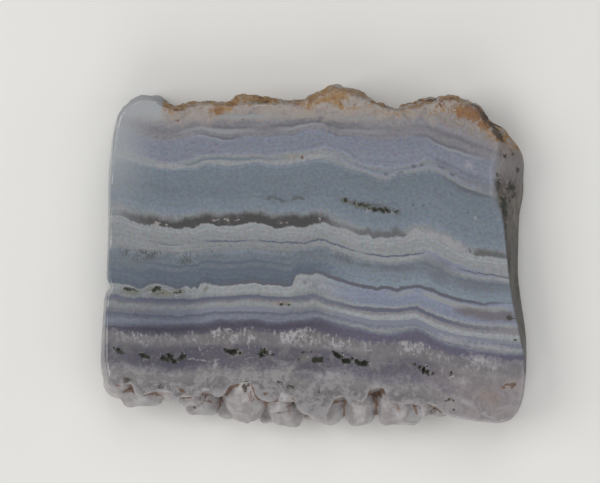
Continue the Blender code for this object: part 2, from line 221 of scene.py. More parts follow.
class Sheet:
    """The node sheet of one material."""

    def __init__(self, name: str) -> None:
        """Starts a material of that name with its Principled shader."""
        self.material = bpy.data.materials.new(name)
        self.material.use_nodes = True
        self.tree = self.material.node_tree
        self.shader = self.tree.nodes["Principled BSDF"]
        self.coordinates = self.node("ShaderNodeTexCoord", output="Object")

    def node(
        self,
        kind: str,
        settings: dict[str, Any] | None = None,
        inputs: dict[int | str, Any] | None = None,
        output: int | str = 0,
    ) -> Signal:
        """Adds any node but a Mix or Vector Math one.

        Args:
            kind: the node's type.
            settings: its properties; "stops" fills a colour ramp with (position, colour) and
                "stations" fills a float curve with (position, value).
            inputs: values or signals by socket.
            output: the output socket that is wanted.

        Returns:
            That output as a signal.
        """
        made = self.tree.nodes.new(kind)
        for key, value in (settings or {}).items():
            if key == "stops":
                self._fill_ramp(made.color_ramp, value)
            elif key == "stations":
                self._fill_curve(made.mapping, value)
            else:
                setattr(made, key, value)
        for key, value in (inputs or {}).items():
            self.plug(made.inputs[key], value)
        return Signal(self, made.outputs[output])

    def plug(self, socket: bpy.types.NodeSocket, value: Any) -> None:
        """Links a signal into a socket, or sets the socket's own value."""
        if isinstance(value, Signal):
            self.tree.links.new(value.socket, socket)
        else:
            socket.default_value = value

    @staticmethod
    def _fill_ramp(ramp: bpy.types.ColorRamp, stops: Sequence[tuple[float, tuple]]) -> None:
        """Gives a colour ramp its stops, from left to right."""
        while len(ramp.elements) < len(stops):
            ramp.elements.new(1.0)
        for element, (position, colour) in zip(ramp.elements, stops):
            element.position = position
            element.color = colour

    @staticmethod
    def _fill_curve(mapping: bpy.types.CurveMapping, stations: Sequence[tuple]) -> None:
        """Gives a float curve its stations, from left to right."""
        points = mapping.curves[0].points
        points[0].location = stations[0]
        points[1].location = stations[-1]
        for station in stations[1:-1]:
            points.new(*station)
        mapping.update()

    def mix(self, under: Any, over: Any, share: Any, blend: str = "MIX") -> Signal:
        """Mixes two colours.

        Args:
            under: the colour where the share is 0.
            over: the colour that is laid on.
            share: how much of it shows.
            blend: how the two are put together.

        Returns:
            The mixed colour.
        """
        made = self.tree.nodes.new("ShaderNodeMix")
        made.data_type = "RGBA"
        made.blend_type = blend
        colours = [socket for socket in made.inputs if socket.type == "RGBA"]
        self.plug(made.inputs["Factor"], share)
        self.plug(colours[0], under)
        self.plug(colours[1], over)
        result = next(socket for socket in made.outputs if socket.type == "RGBA")
        return Signal(self, result)

    def vector(self, operation: str, *values: Any, output: int | str = 0) -> Signal:
        """One Vector Math node on the values given."""
        made = self.tree.nodes.new("ShaderNodeVectorMath")
        made.operation = operation
        for socket, value in zip(made.inputs, values):
            self.plug(socket, value)
        return Signal(self, made.outputs[output])

    def point(self, x: Any, y: Any, z: Any) -> Signal:
        """A vector from three numbers."""
        return self.node("ShaderNodeCombineXYZ", None, {0: x, 1: y, 2: z})

    def bump(self, height: Signal, strength: float, distance: float) -> None:
        """Gives the shader a fine relief."""
        inputs = {"Strength": strength, "Distance": distance, "Height": height}
        self.plug(self.shader.inputs["Normal"], self.node("ShaderNodeBump", None, inputs))

    def grain(
        self,
        waves: float | tuple[float, float, float],
        octaves: float = 2.0,
        roughness: float = 0.5,
        shift: float = 0.0,
        swirl: float = 0.0,
    ) -> Signal:
        """Smooth noise about 0.5, fixed in the piece.

        Args:
            waves: waves in a millimetre, the same every way or one number for each axis.
            octaves: how many finer layers it has.
            roughness: how strong the finer layers are.
            shift: moves the noise, so that two of a kind differ.
            swirl: how far it is drawn out into wisps.

        Returns:
            The noise.
        """
        scales = waves if isinstance(waves, tuple) else (waves,) * 3
        moved = {"Vector": self.coordinates, "Location": (shift,) * 3}
        moved["Scale"] = tuple(scale / MM for scale in scales)
        place = self.node("ShaderNodeMapping", None, moved)
        sockets = {"Vector": place, "Scale": 1.0, "Detail": octaves, "Roughness": roughness}
        sockets["Distortion"] = swirl
        return self.node("ShaderNodeTexNoise", {"noise_dimensions": "3D"}, sockets)

    def layers(self, along: Signal, octaves: float = 2.0, roughness: float = 0.5) -> Signal:
        """Smooth noise about 0.5 that varies with one number only.

        Args:
            along: the number.
            octaves: how many finer layers it has.
            roughness: how strong the finer layers are.

        Returns:
            The noise.
        """
        sockets = {"W": along, "Scale": 1.0, "Detail": octaves, "Roughness": roughness}
        return self.node("ShaderNodeTexNoise", {"noise_dimensions": "1D"}, sockets)

    def curve(self, place: Signal, stations: Sequence[tuple[float, float]]) -> Signal:
        """A drawn curve: a value for each place along the slice.

        Args:
            place: X or Y in millimetres.
            stations: (place, value) pairs, in millimetres or shares.

        Returns:
            The value at the place.
        """
        ends = [(-REACH, stations[0][1]), *stations, (REACH, stations[-1][1])]
        scaled = [((p + REACH) / (2 * REACH), (v + REACH) / (2 * REACH)) for p, v in ends]
        share = (place + REACH) * (0.5 / REACH)
        drawn = self.node("ShaderNodeFloatCurve", {"stations": scaled}, {"Value": share})
        return drawn * (2 * REACH) - REACH


# ----------------------------------------------------------------------------
# The vein's bands
# ----------------------------------------------------------------------------


@dataclass(frozen=True)
class Horizon:
    """A line that can be followed right across the slice.

    depth is how deep it lies in the vein, counted from the crust along the slice's middle.
    trace gives its Y for each X on the polished face.
    """

    name: str
    depth: float
    trace: tuple[tuple[float, float], ...]


HORIZONS = (
    Horizon("lilac_top", 1.3, (
        (-24, 16.8), (-19.8, 16.3), (-17, 16.0), (-15, 16.3), (-8, 16.3), (-1.4, 16.6), (0, 16.8),
        (4, 16.1), (8, 16.2), (14, 16.4), (16, 15.6), (18, 14.8), (20, 14.0), (21.6, 13.2),
        (24, 12.8),
    )),
    Horizon("blue_top", 2.8, (
        (-24, 15.6), (-22, 15.2), (-20, 14.3), (-18, 13.8), (-16.5, 13.9), (-15, 14.4),
        (-13.3, 14.7), (-12, 14.4), (-10, 14.05), (-8.5, 14.35), (-6, 14.45), (-4, 14.6),
        (-2.5, 14.55), (-1.4, 14.95), (0.3, 15.25), (1.5, 15.0), (3, 14.45), (4.5, 14.5),
        (7, 14.2), (9, 14.1), (12, 14.5), (13, 14.4), (14, 14.1), (15, 13.5), (16, 13.05),
        (17, 12.9), (18, 12.55), (19, 12.15), (21, 11.8), (22, 11.6),
    )),
    Horizon("white_wave_top", 5.3, (
        (-24, 12.9), (-21, 12.1), (-19, 11.5), (-17, 11.1), (-15, 11.4), (-13, 12.0), (-8, 12.1),
        (-5, 12.1), (-2, 12.5), (0, 12.7), (1, 13.0), (2, 12.9), (3, 12.6), (4, 12.2), (5, 11.4),
        (6, 11.0), (8, 10.7), (9, 10.6), (11.3, 11.0), (12.4, 11.3), (13.5, 11.7), (14.6, 11.3),
        (15.7, 10.8), (16.7, 10.3), (17.8, 9.6), (19, 9.2), (22, 8.6),
    )),
    Horizon("steel_top", 6.6, (
        (-24, 11.9), (-22, 11.4), (-20, 10.8), (-18, 10.5), (-16, 10.4), (-15, 10.5),
        (-13.5, 10.7), (-13, 11.0), (-12, 10.9), (-10, 10.7), (-8, 11.0), (-6, 11.1), (-5, 10.9),
        (-3, 10.8), (-1, 11.2), (0.4, 11.45), (2, 11.1), (3, 10.8), (4, 10.35), (5, 10.05),
        (6.2, 9.9), (7.2, 9.4), (8, 9.1), (9, 9.15), (10, 9.6), (11, 9.7), (12, 9.95),
        (13.3, 10.15), (14.6, 9.95), (16, 9.2), (17.4, 8.3), (19, 7.8), (20, 7.45), (21.6, 7.0),
        (23, 6.7),
    )),
    Horizon("seam_foot", 14.05, (
        (-24, 4.95), (-23, 4.9), (-22, 4.5), (-21, 4.1), (-20, 3.85), (-19, 3.95), (-18, 3.6),
        (-17, 3.5), (-15.9, 3.35), (-15.3, 3.55), (-14.3, 3.5), (-13.5, 3.85), (-13, 4.0),
        (-12, 3.9), (-11, 3.7), (-10, 3.8), (-9, 3.8), (-8, 4.0), (-6, 3.95), (-5, 3.65),
        (-4, 3.5), (-3, 3.7), (-1.4, 3.6), (0, 3.95), (0.8, 4.1), (1.4, 4.1), (2, 3.75), (3, 3.5),
        (4, 3.3), (5, 2.8), (6, 2.6), (6.5, 2.8), (7, 2.3), (8, 2.4), (9, 2.3), (10, 2.5),
        (10.6, 2.3), (11.2, 2.6), (12, 2.8), (13, 2.9), (14, 2.6), (15, 2.2), (16, 1.7), (17, 1.1),
        (18, 0.55), (19, 0.25), (21, 0.05), (23, -0.1),
    )),
    Horizon("hairline", 16.05, (
        (-24, 2.4), (-22, 2.0), (-20, 1.7), (-18, 1.5), (-16, 1.4), (-14, 1.6), (-13, 1.85),
        (-12, 1.9), (-10, 1.85), (-8, 1.95), (-6.3, 1.95), (-5, 1.85), (-4, 1.7), (-3, 1.65),
        (-2, 1.65), (-1, 1.7), (0, 1.95), (0.8, 2.05), (1.4, 1.95), (2, 1.65), (3, 1.35), (4, 1.0),
        (5, 0.7), (6, 0.4), (7, 0.25), (8, 0.08), (10, 0.1), (11, 0.2), (12, 0.3), (13, 0.48),
        (13.5, 0.4), (14, 0.1), (15, -0.45), (16, -0.95), (17.3, -1.35), (18, -1.6), (19, -1.85),
        (20, -2.0), (21, -2.1), (22, -2.3), (23, -2.45),
    )),
    Horizon("slate_foot", 21.0, (
        (-24, -3.1), (-22, -3.4), (-20.3, -3.7), (-19.8, -3.3), (-19, -3.15), (-18, -3.3),
        (-17, -3.5), (-16, -3.75), (-15, -3.4), (-14.5, -3.75), (-14.2, -3.4), (-13.8, -3.75),
        (-13.5, -3.2), (-12, -3.2), (-11, -3.35), (-10, -3.25), (-8, -3.05), (-7, -2.95),
        (-6, -3.15), (-5, -3.2), (-4, -3.35), (-2.5, -3.3), (-2.3, -2.7), (-2.0, -2.1), (-1, -2.0),
        (-0.2, -2.0), (0.5, -1.8), (1, -1.95), (1.6, -2.2), (2.5, -2.5), (3.2, -2.8), (4, -3.05),
        (5, -3.3), (6, -3.5), (7, -3.6), (7.6, -3.8), (8, -3.65), (9, -3.75), (9.7, -3.9),
        (10, -4.0), (10.6, -3.7), (11.6, -3.55), (12.5, -3.5), (13, -3.6), (14, -3.9), (15, -4.35),
        (16, -4.7), (17, -5.0), (18, -5.25), (19, -5.45), (20, -5.6), (22, -5.5), (23.5, -5.5),
    )),
    Horizon("indigo_band", 22.7, (
        (-24, -4.6), (-23, -4.85), (-22, -5.0), (-21, -5.1), (-20, -5.15), (-18, -5.2),
        (-16, -5.15), (-15, -5.25), (-13, -5.05), (-12, -4.95), (-10, -4.9), (-8, -4.75),
        (-7, -4.75), (-6, -4.85), (-5, -4.95), (-3, -4.9), (-1.5, -4.85), (-0.8, -4.75), (0, -4.6),
        (1, -5.0), (2, -5.45), (3, -5.7), (4, -5.9), (5, -6.1), (6, -6.25), (7, -6.35), (8, -6.4),
        (10, -6.45), (11, -6.35), (12, -6.2), (12.3, -6.2), (13, -6.5), (14, -7.0), (15, -7.45),
        (16, -7.8), (17, -8.05), (18, -8.3), (19, -8.45), (20, -8.55), (22, -8.65), (24, -8.8),
    )),
    Horizon("blue_line", 24.5, (
        (-23, -6.65), (-22, -6.8), (-20, -6.9), (-18, -7.0), (-17, -7.0), (-16.3, -7.2),
        (-15, -7.0), (-13, -6.8), (-12, -6.6), (-10, -6.65), (-8, -6.55), (-6, -6.6), (-4, -6.75),
        (-3, -6.75), (-1, -6.6), (-0.3, -6.45), (1, -6.7), (2, -7.0), (3, -7.25), (4, -7.5),
        (5, -7.75), (6, -7.95), (8, -8.2), (10, -8.2), (11, -8.1), (11.8, -8.05), (13, -8.4),
        (14, -9.0), (15, -9.4), (16, -9.7), (17, -9.9), (18, -10.05), (20, -10.25), (22, -10.4),
        (24, -10.6),
    )),
    Horizon("violet_top", 25.4, (
        (-23, -8.15), (-20, -8.1), (-17, -8.1), (-14, -8.0), (-13, -7.85), (-12, -7.7),
        (-11, -7.6), (-9, -7.5), (-7, -7.45), (-5, -7.8), (-3, -7.75), (-1, -7.5), (0, -7.35),
        (1, -7.4), (2, -7.7), (3, -8.0), (4, -8.2), (5, -8.45), (6, -8.7), (7, -9.0), (8, -9.15),
        (9, -9.2), (10, -9.1), (11, -8.9), (12, -8.65), (12.3, -8.6), (13, -8.9), (14, -9.5),
        (15, -10.0), (16, -10.4), (17, -10.65), (18, -10.9), (19, -11.1), (21, -11.35),
        (23, -11.6),
    )),
    Horizon("comb_top", 26.6, (
        (-24, -8.35), (-22.5, -8.75), (-20, -9.05), (-17, -9.15), (-15, -9.0), (-13, -8.85),
        (-12, -8.6), (-9, -8.45), (-8, -8.35), (-5, -8.7), (-3, -8.6), (1, -8.6), (2, -9.0),
        (4, -9.5), (6, -9.9), (8, -9.95), (10, -10.05), (12, -10.1), (13.4, -10.4), (15, -10.9),
        (16, -11.3), (17, -11.5), (18, -11.8), (20, -12.0), (23, -12.3),
    )),
    Horizon("milk_top", 32.8, (
        (-23, -13.3), (-22, -13.4), (-20, -14.0), (-17, -14.1), (-16, -14.1), (-15, -13.8),
        (-13, -13.5), (-11.3, -13.2), (-10.5, -13.9), (-9, -13.5), (-8, -13.2), (-6, -14.0),
        (-4, -13.7), (-3, -13.5), (-2, -14.3), (-1, -14.8), (1, -14.8), (2, -14.6), (4, -14.4),
        (6, -14.8), (8, -15.4), (10, -15.2), (12, -15.2), (14, -15.8), (15, -16.2), (24, -18.0),
    )),
)


@dataclass(frozen=True)
class Stratum:
    """The stone's colour at one depth, west and east of the fold at X = 0."""

    depth: float
    west: Pigment
    east: Pigment
    west_tone: float = 1.0
    east_tone: float = 1.0


@dataclass(frozen=True)
class Suite:
    """A run of strata that grade into each other. It ends sharply at both sides."""

    strata: tuple[Stratum, ...]

    def stops(self, east: bool) -> list[tuple[float, tuple]]:
        """Colour stops of one side of the fold, over the suite's own range."""
        top, foot = self.strata[0].depth, self.strata[-1].depth
        made = []
        for layer in self.strata:
            pigment = layer.east if east else layer.west
            tone = layer.east_tone if east else layer.west_tone
            made.append(((layer.depth - top) / (foot - top), pigment.linear(tone)))
        return made


def suite(*rows: tuple[Any, ...]) -> Suite:
    """A suite from rows of its strata's depths, pigments and tones."""
    return Suite(tuple(Stratum(*row) for row in rows))


P = Pigment
SUITES = (
    suite(
        (-3.0, P.RIM_CREAM, P.RIM_CREAM, 0.97, 0.94), (0.3, P.RIM_CREAM, P.RIM_CREAM, 1.0, 0.98),
        (1.0, P.RIM_CREAM, P.RIM_CREAM, 0.96, 0.95), (1.5, P.LILAC_GREY, P.LILAC_GREY, 1.06, 1.05),
        (2.0, P.LILAC_GREY, P.LILAC_GREY, 0.99, 0.99),
        (2.65, P.LILAC_GREY, P.LILAC_GREY, 1.04, 1.03), (3.0, P.BLUE_LACE, P.BLUE_LACE, 1.03, 1.0),
        (3.6, P.BLUE_LACE, P.BLUE_LACE, 0.97, 0.98), (4.4, P.BLUE_LACE, P.BLUE_LACE, 0.98, 1.01),
        (5.1, P.BLUE_LACE, P.BLUE_LACE, 1.03, 1.0), (5.32, P.PEARL, P.BLUE_LACE, 0.99, 1.06),
        (5.6, P.WHITE_LACE, P.PEARL, 0.99, 1.0), (5.9, P.PEARL, P.BLUE_LACE, 0.96, 1.04),
        (6.3, P.WHITE_LACE, P.PEARL, 1.01, 0.99), (6.6, P.STEEL, P.STEEL, 1.08, 1.02),
        (6.95, P.STEEL, P.STEEL, 1.0, 0.95), (8.0, P.STEEL, P.STEEL, 0.97, 0.96),
        (9.5, P.STEEL, P.STEEL, 0.97, 1.0), (11.0, P.STEEL, P.STEEL, 1.0, 1.01),
        (12.0, P.STEEL, P.STEEL, 1.06, 1.02), (12.8, P.PEARL, P.STEEL, 0.97, 1.08),
        (13.4, P.PEARL, P.PEARL, 1.02, 0.97), (14.05, P.PEARL, P.PEARL, 1.0, 0.98),
    ),
    suite(
        (14.05, P.WHITE_LACE, P.WHITE_LACE, 1.03, 1.02),
        (14.6, P.WHITE_LACE, P.WHITE_LACE, 0.99, 1.02), (15.2, P.PEARL, P.WHITE_LACE, 1.0, 0.98),
        (15.9, P.PEARL, P.WHITE_LACE, 0.96, 0.97), (16.4, P.PEARL, P.WHITE_LACE, 0.99, 1.02),
        (16.9, P.PEARL, P.PEARL, 0.94, 0.97), (17.3, P.ASH, P.ASH, 1.07, 1.04),
        (17.8, P.ASH, P.ASH, 1.0, 1.02), (18.4, P.ASH, P.ASH, 0.97, 1.08),
        (19.0, P.ASH, P.STEEL, 0.95, 1.05), (19.6, P.SLATE, P.STEEL, 1.05, 1.11),
        (20.4, P.SLATE, P.STEEL, 1.0, 1.13), (20.8, P.SLATE, P.STEEL, 0.95, 1.08),
        (21.0, P.SLATE, P.INDIGO, 0.92, 1.0),
    ),
    suite(
        (21.0, P.PEARL, P.CORNFLOWER, 0.94, 0.98), (21.2, P.WHITE_LACE, P.CORNFLOWER, 1.02, 1.05),
        (21.7, P.WHITE_LACE, P.CORNFLOWER, 1.04, 1.0),
        (22.2, P.WHITE_LACE, P.CORNFLOWER, 0.97, 0.98), (22.45, P.PEARL, P.WHITE_LACE, 0.93, 0.99),
        (22.6, P.INDIGO, P.LILAC_GREY, 1.08, 1.05), (22.8, P.INDIGO, P.LILAC_GREY, 1.1, 1.07),
        (23.05, P.LILAC_GREY, P.LILAC_GREY, 0.95, 1.06),
        (23.3, P.WHITE_LACE, P.WHITE_LACE, 0.95, 1.05),
        (23.7, P.WHITE_LACE, P.WHITE_LACE, 0.93, 1.03), (24.0, P.LILAC_GREY, P.PEARL, 1.0, 0.97),
        (24.35, P.BLUE_LACE, P.BLUE_LACE, 0.9, 1.0), (24.5, P.INDIGO, P.BLUE_LACE, 0.97, 0.9),
        (24.7, P.BLUE_LACE, P.BLUE_LACE, 0.87, 1.0), (24.95, P.BLUE_LACE, P.PEARL, 0.97, 1.0),
        (25.2, P.BLUE_LACE, P.PEARL, 0.94, 0.95), (25.4, P.INDIGO, P.INDIGO, 0.97, 1.1),
        (25.7, P.VIOLET, P.VIOLET, 1.06, 1.27), (26.1, P.VIOLET, P.VIOLET, 0.97, 1.24),
        (26.6, P.VIOLET, P.VIOLET, 1.0, 1.25),
    ),
    suite(
        (26.6, P.VIOLET, P.VIOLET, 1.05, 1.3), (27.2, P.SMOKE, P.SMOKE, 0.95, 1.1),
        (28.6, P.SMOKE, P.SMOKE, 1.0, 1.06), (29.6, P.SMOKE, P.SMOKE, 0.97, 1.02),
        (31.0, P.SMOKE, P.SMOKE, 0.98, 1.08), (32.3, P.SMOKE, P.SMOKE, 1.12, 1.28),
        (32.8, P.MILK, P.MILK, 0.9, 0.92), (33.6, P.MILK, P.MILK, 1.0, 1.0),
        (35.0, P.MILK, P.MILK, 1.02, 1.02), (40.0, P.MILK, P.MILK, 0.96, 0.98),
    ),
)


@dataclass(frozen=True)
class LaceLine:
    """A thin line that keeps to one depth.

    spans holds the (start, end, share) of each stretch along X where it is drawn.
    """

    depth: float
    half_width: float
    softness: float
    pigment: Pigment
    spans: tuple[tuple[float, float, float], ...]
    fade: ClassVar[float] = 0.45  # how far each end fades to both sides of its place

    def share(self) -> list[tuple[float, float]]:
        """Shares along X for Sheet.curve, nought outside the spans."""
        stations = []
        for start, end, share in self.spans:
            stations += [(start - self.fade, 0.0), (start + self.fade, share)]
            stations += [(end - self.fade, share), (end + self.fade, 0.0)]
        return stations


LACE_LINES = (
    LaceLine(0.9, 0.10, 0.3, P.WHITE_LACE, ((-15.0, -2.0, 0.35), (1.0, 9.0, 0.3))),
    LaceLine(1.55, 0.05, 0.2, P.SMUDGE, ((-11.5, -6.2, 0.22), (-3.2, 5.8, 0.25))),
    LaceLine(1.95, 0.06, 0.2, P.SMUDGE, (
        (-12.5, -7.2, 0.32), (-5.2, 4.8, 0.3), (13.5, 20.5, 0.2),
    )),
    LaceLine(2.25, 0.08, 0.2, P.WHITE_LACE, (
        (-16.0, -7.0, 0.4), (-4.0, 1.5, 0.5), (3.0, 9.0, 0.3),
    )),
    LaceLine(2.8, 0.06, 0.16, P.SMUDGE, (
        (-13.6, -8.2, 0.42), (-6.2, -1.2, 0.2), (0.9, 4.8, 0.3), (11.8, 19.5, 0.35),
    )),
    LaceLine(3.05, 0.07, 0.15, P.WHITE_LACE, ((-15.0, -9.0, 0.3), (13.0, 20.5, 0.35))),
    LaceLine(5.75, 0.06, 0.2, P.STEEL, ((-19.0, -3.0, 0.35), (3.0, 15.0, 0.2))),
    LaceLine(6.66, 0.10, 0.2, P.SMUDGE, ((15.2, 21.8, 0.45),)),
    LaceLine(15.8, 0.12, 0.12, P.CORNFLOWER, ((12.6, 20.5, 0.45),)),
    LaceLine(16.05, 0.045, 0.09, P.INDIGO, (
        (-18.6, -16.0, 0.5), (-12.8, -7.8, 0.85), (-6.5, 5.3, 0.85), (5.9, 13.4, 0.8),
        (13.9, 16.4, 0.3), (16.9, 23.5, 0.8),
    )),
    LaceLine(16.35, 0.12, 0.12, P.CORNFLOWER, ((12.6, 22.5, 0.4),)),
    LaceLine(18.5, 0.07, 0.16, P.SLATE, ((-20.5, -2.0, 0.4),)),
    LaceLine(19.4, 0.10, 0.16, P.SLATE, ((-22.5, -1.5, 0.6),)),
    LaceLine(20.93, 0.08, 0.16, P.SMUDGE, (
        (-21.0, -13.0, 0.25), (-12.0, -2.0, 0.6), (-1.5, 22.5, 0.42),
    )),
    LaceLine(21.38, 0.10, 0.12, P.WHITE_LACE, ((8.6, 12.4, 0.4), (12.6, 23.5, 0.75))),
    LaceLine(22.66, 0.10, 0.12, P.INDIGO, ((-22.5, 0.0, 0.2), (0.4, 23.0, 0.2))),
    LaceLine(23.95, 0.07, 0.12, P.BLUE_LACE, ((-20.0, 0.0, 0.3), (2.0, 22.0, 0.6))),
    LaceLine(24.22, 0.06, 0.12, P.BLUE_LACE, ((-18.0, -3.0, 0.4), (5.0, 22.0, 0.6))),
    LaceLine(25.08, 0.06, 0.12, P.INDIGO, ((-8.0, -1.0, 0.2), (9.0, 22.0, 0.25))),
)


@dataclass(frozen=True)
class Fleck:
    """A small oval mark, by its middle, size and turn in degrees."""

    x: float
    y: float
    length: float
    width: float
    turn: float = 0.0


@dataclass(frozen=True)
class FleckGroup:
    """Marks of one kind."""

    name: str
    pigment: Pigment
    share: float  # how much they cover what lies under them
    softness: float  # 0 has a clean edge, 1 fades from the middle out
    above: float  # the height from which they are seen
    flecks: tuple[Fleck, ...]
    torn: float = 1.5  # how ragged their outlines are


def flecks(*rows: tuple[float, ...]) -> tuple[Fleck, ...]:
    """Marks from rows of their numbers."""
    return tuple(Fleck(*row) for row in rows)


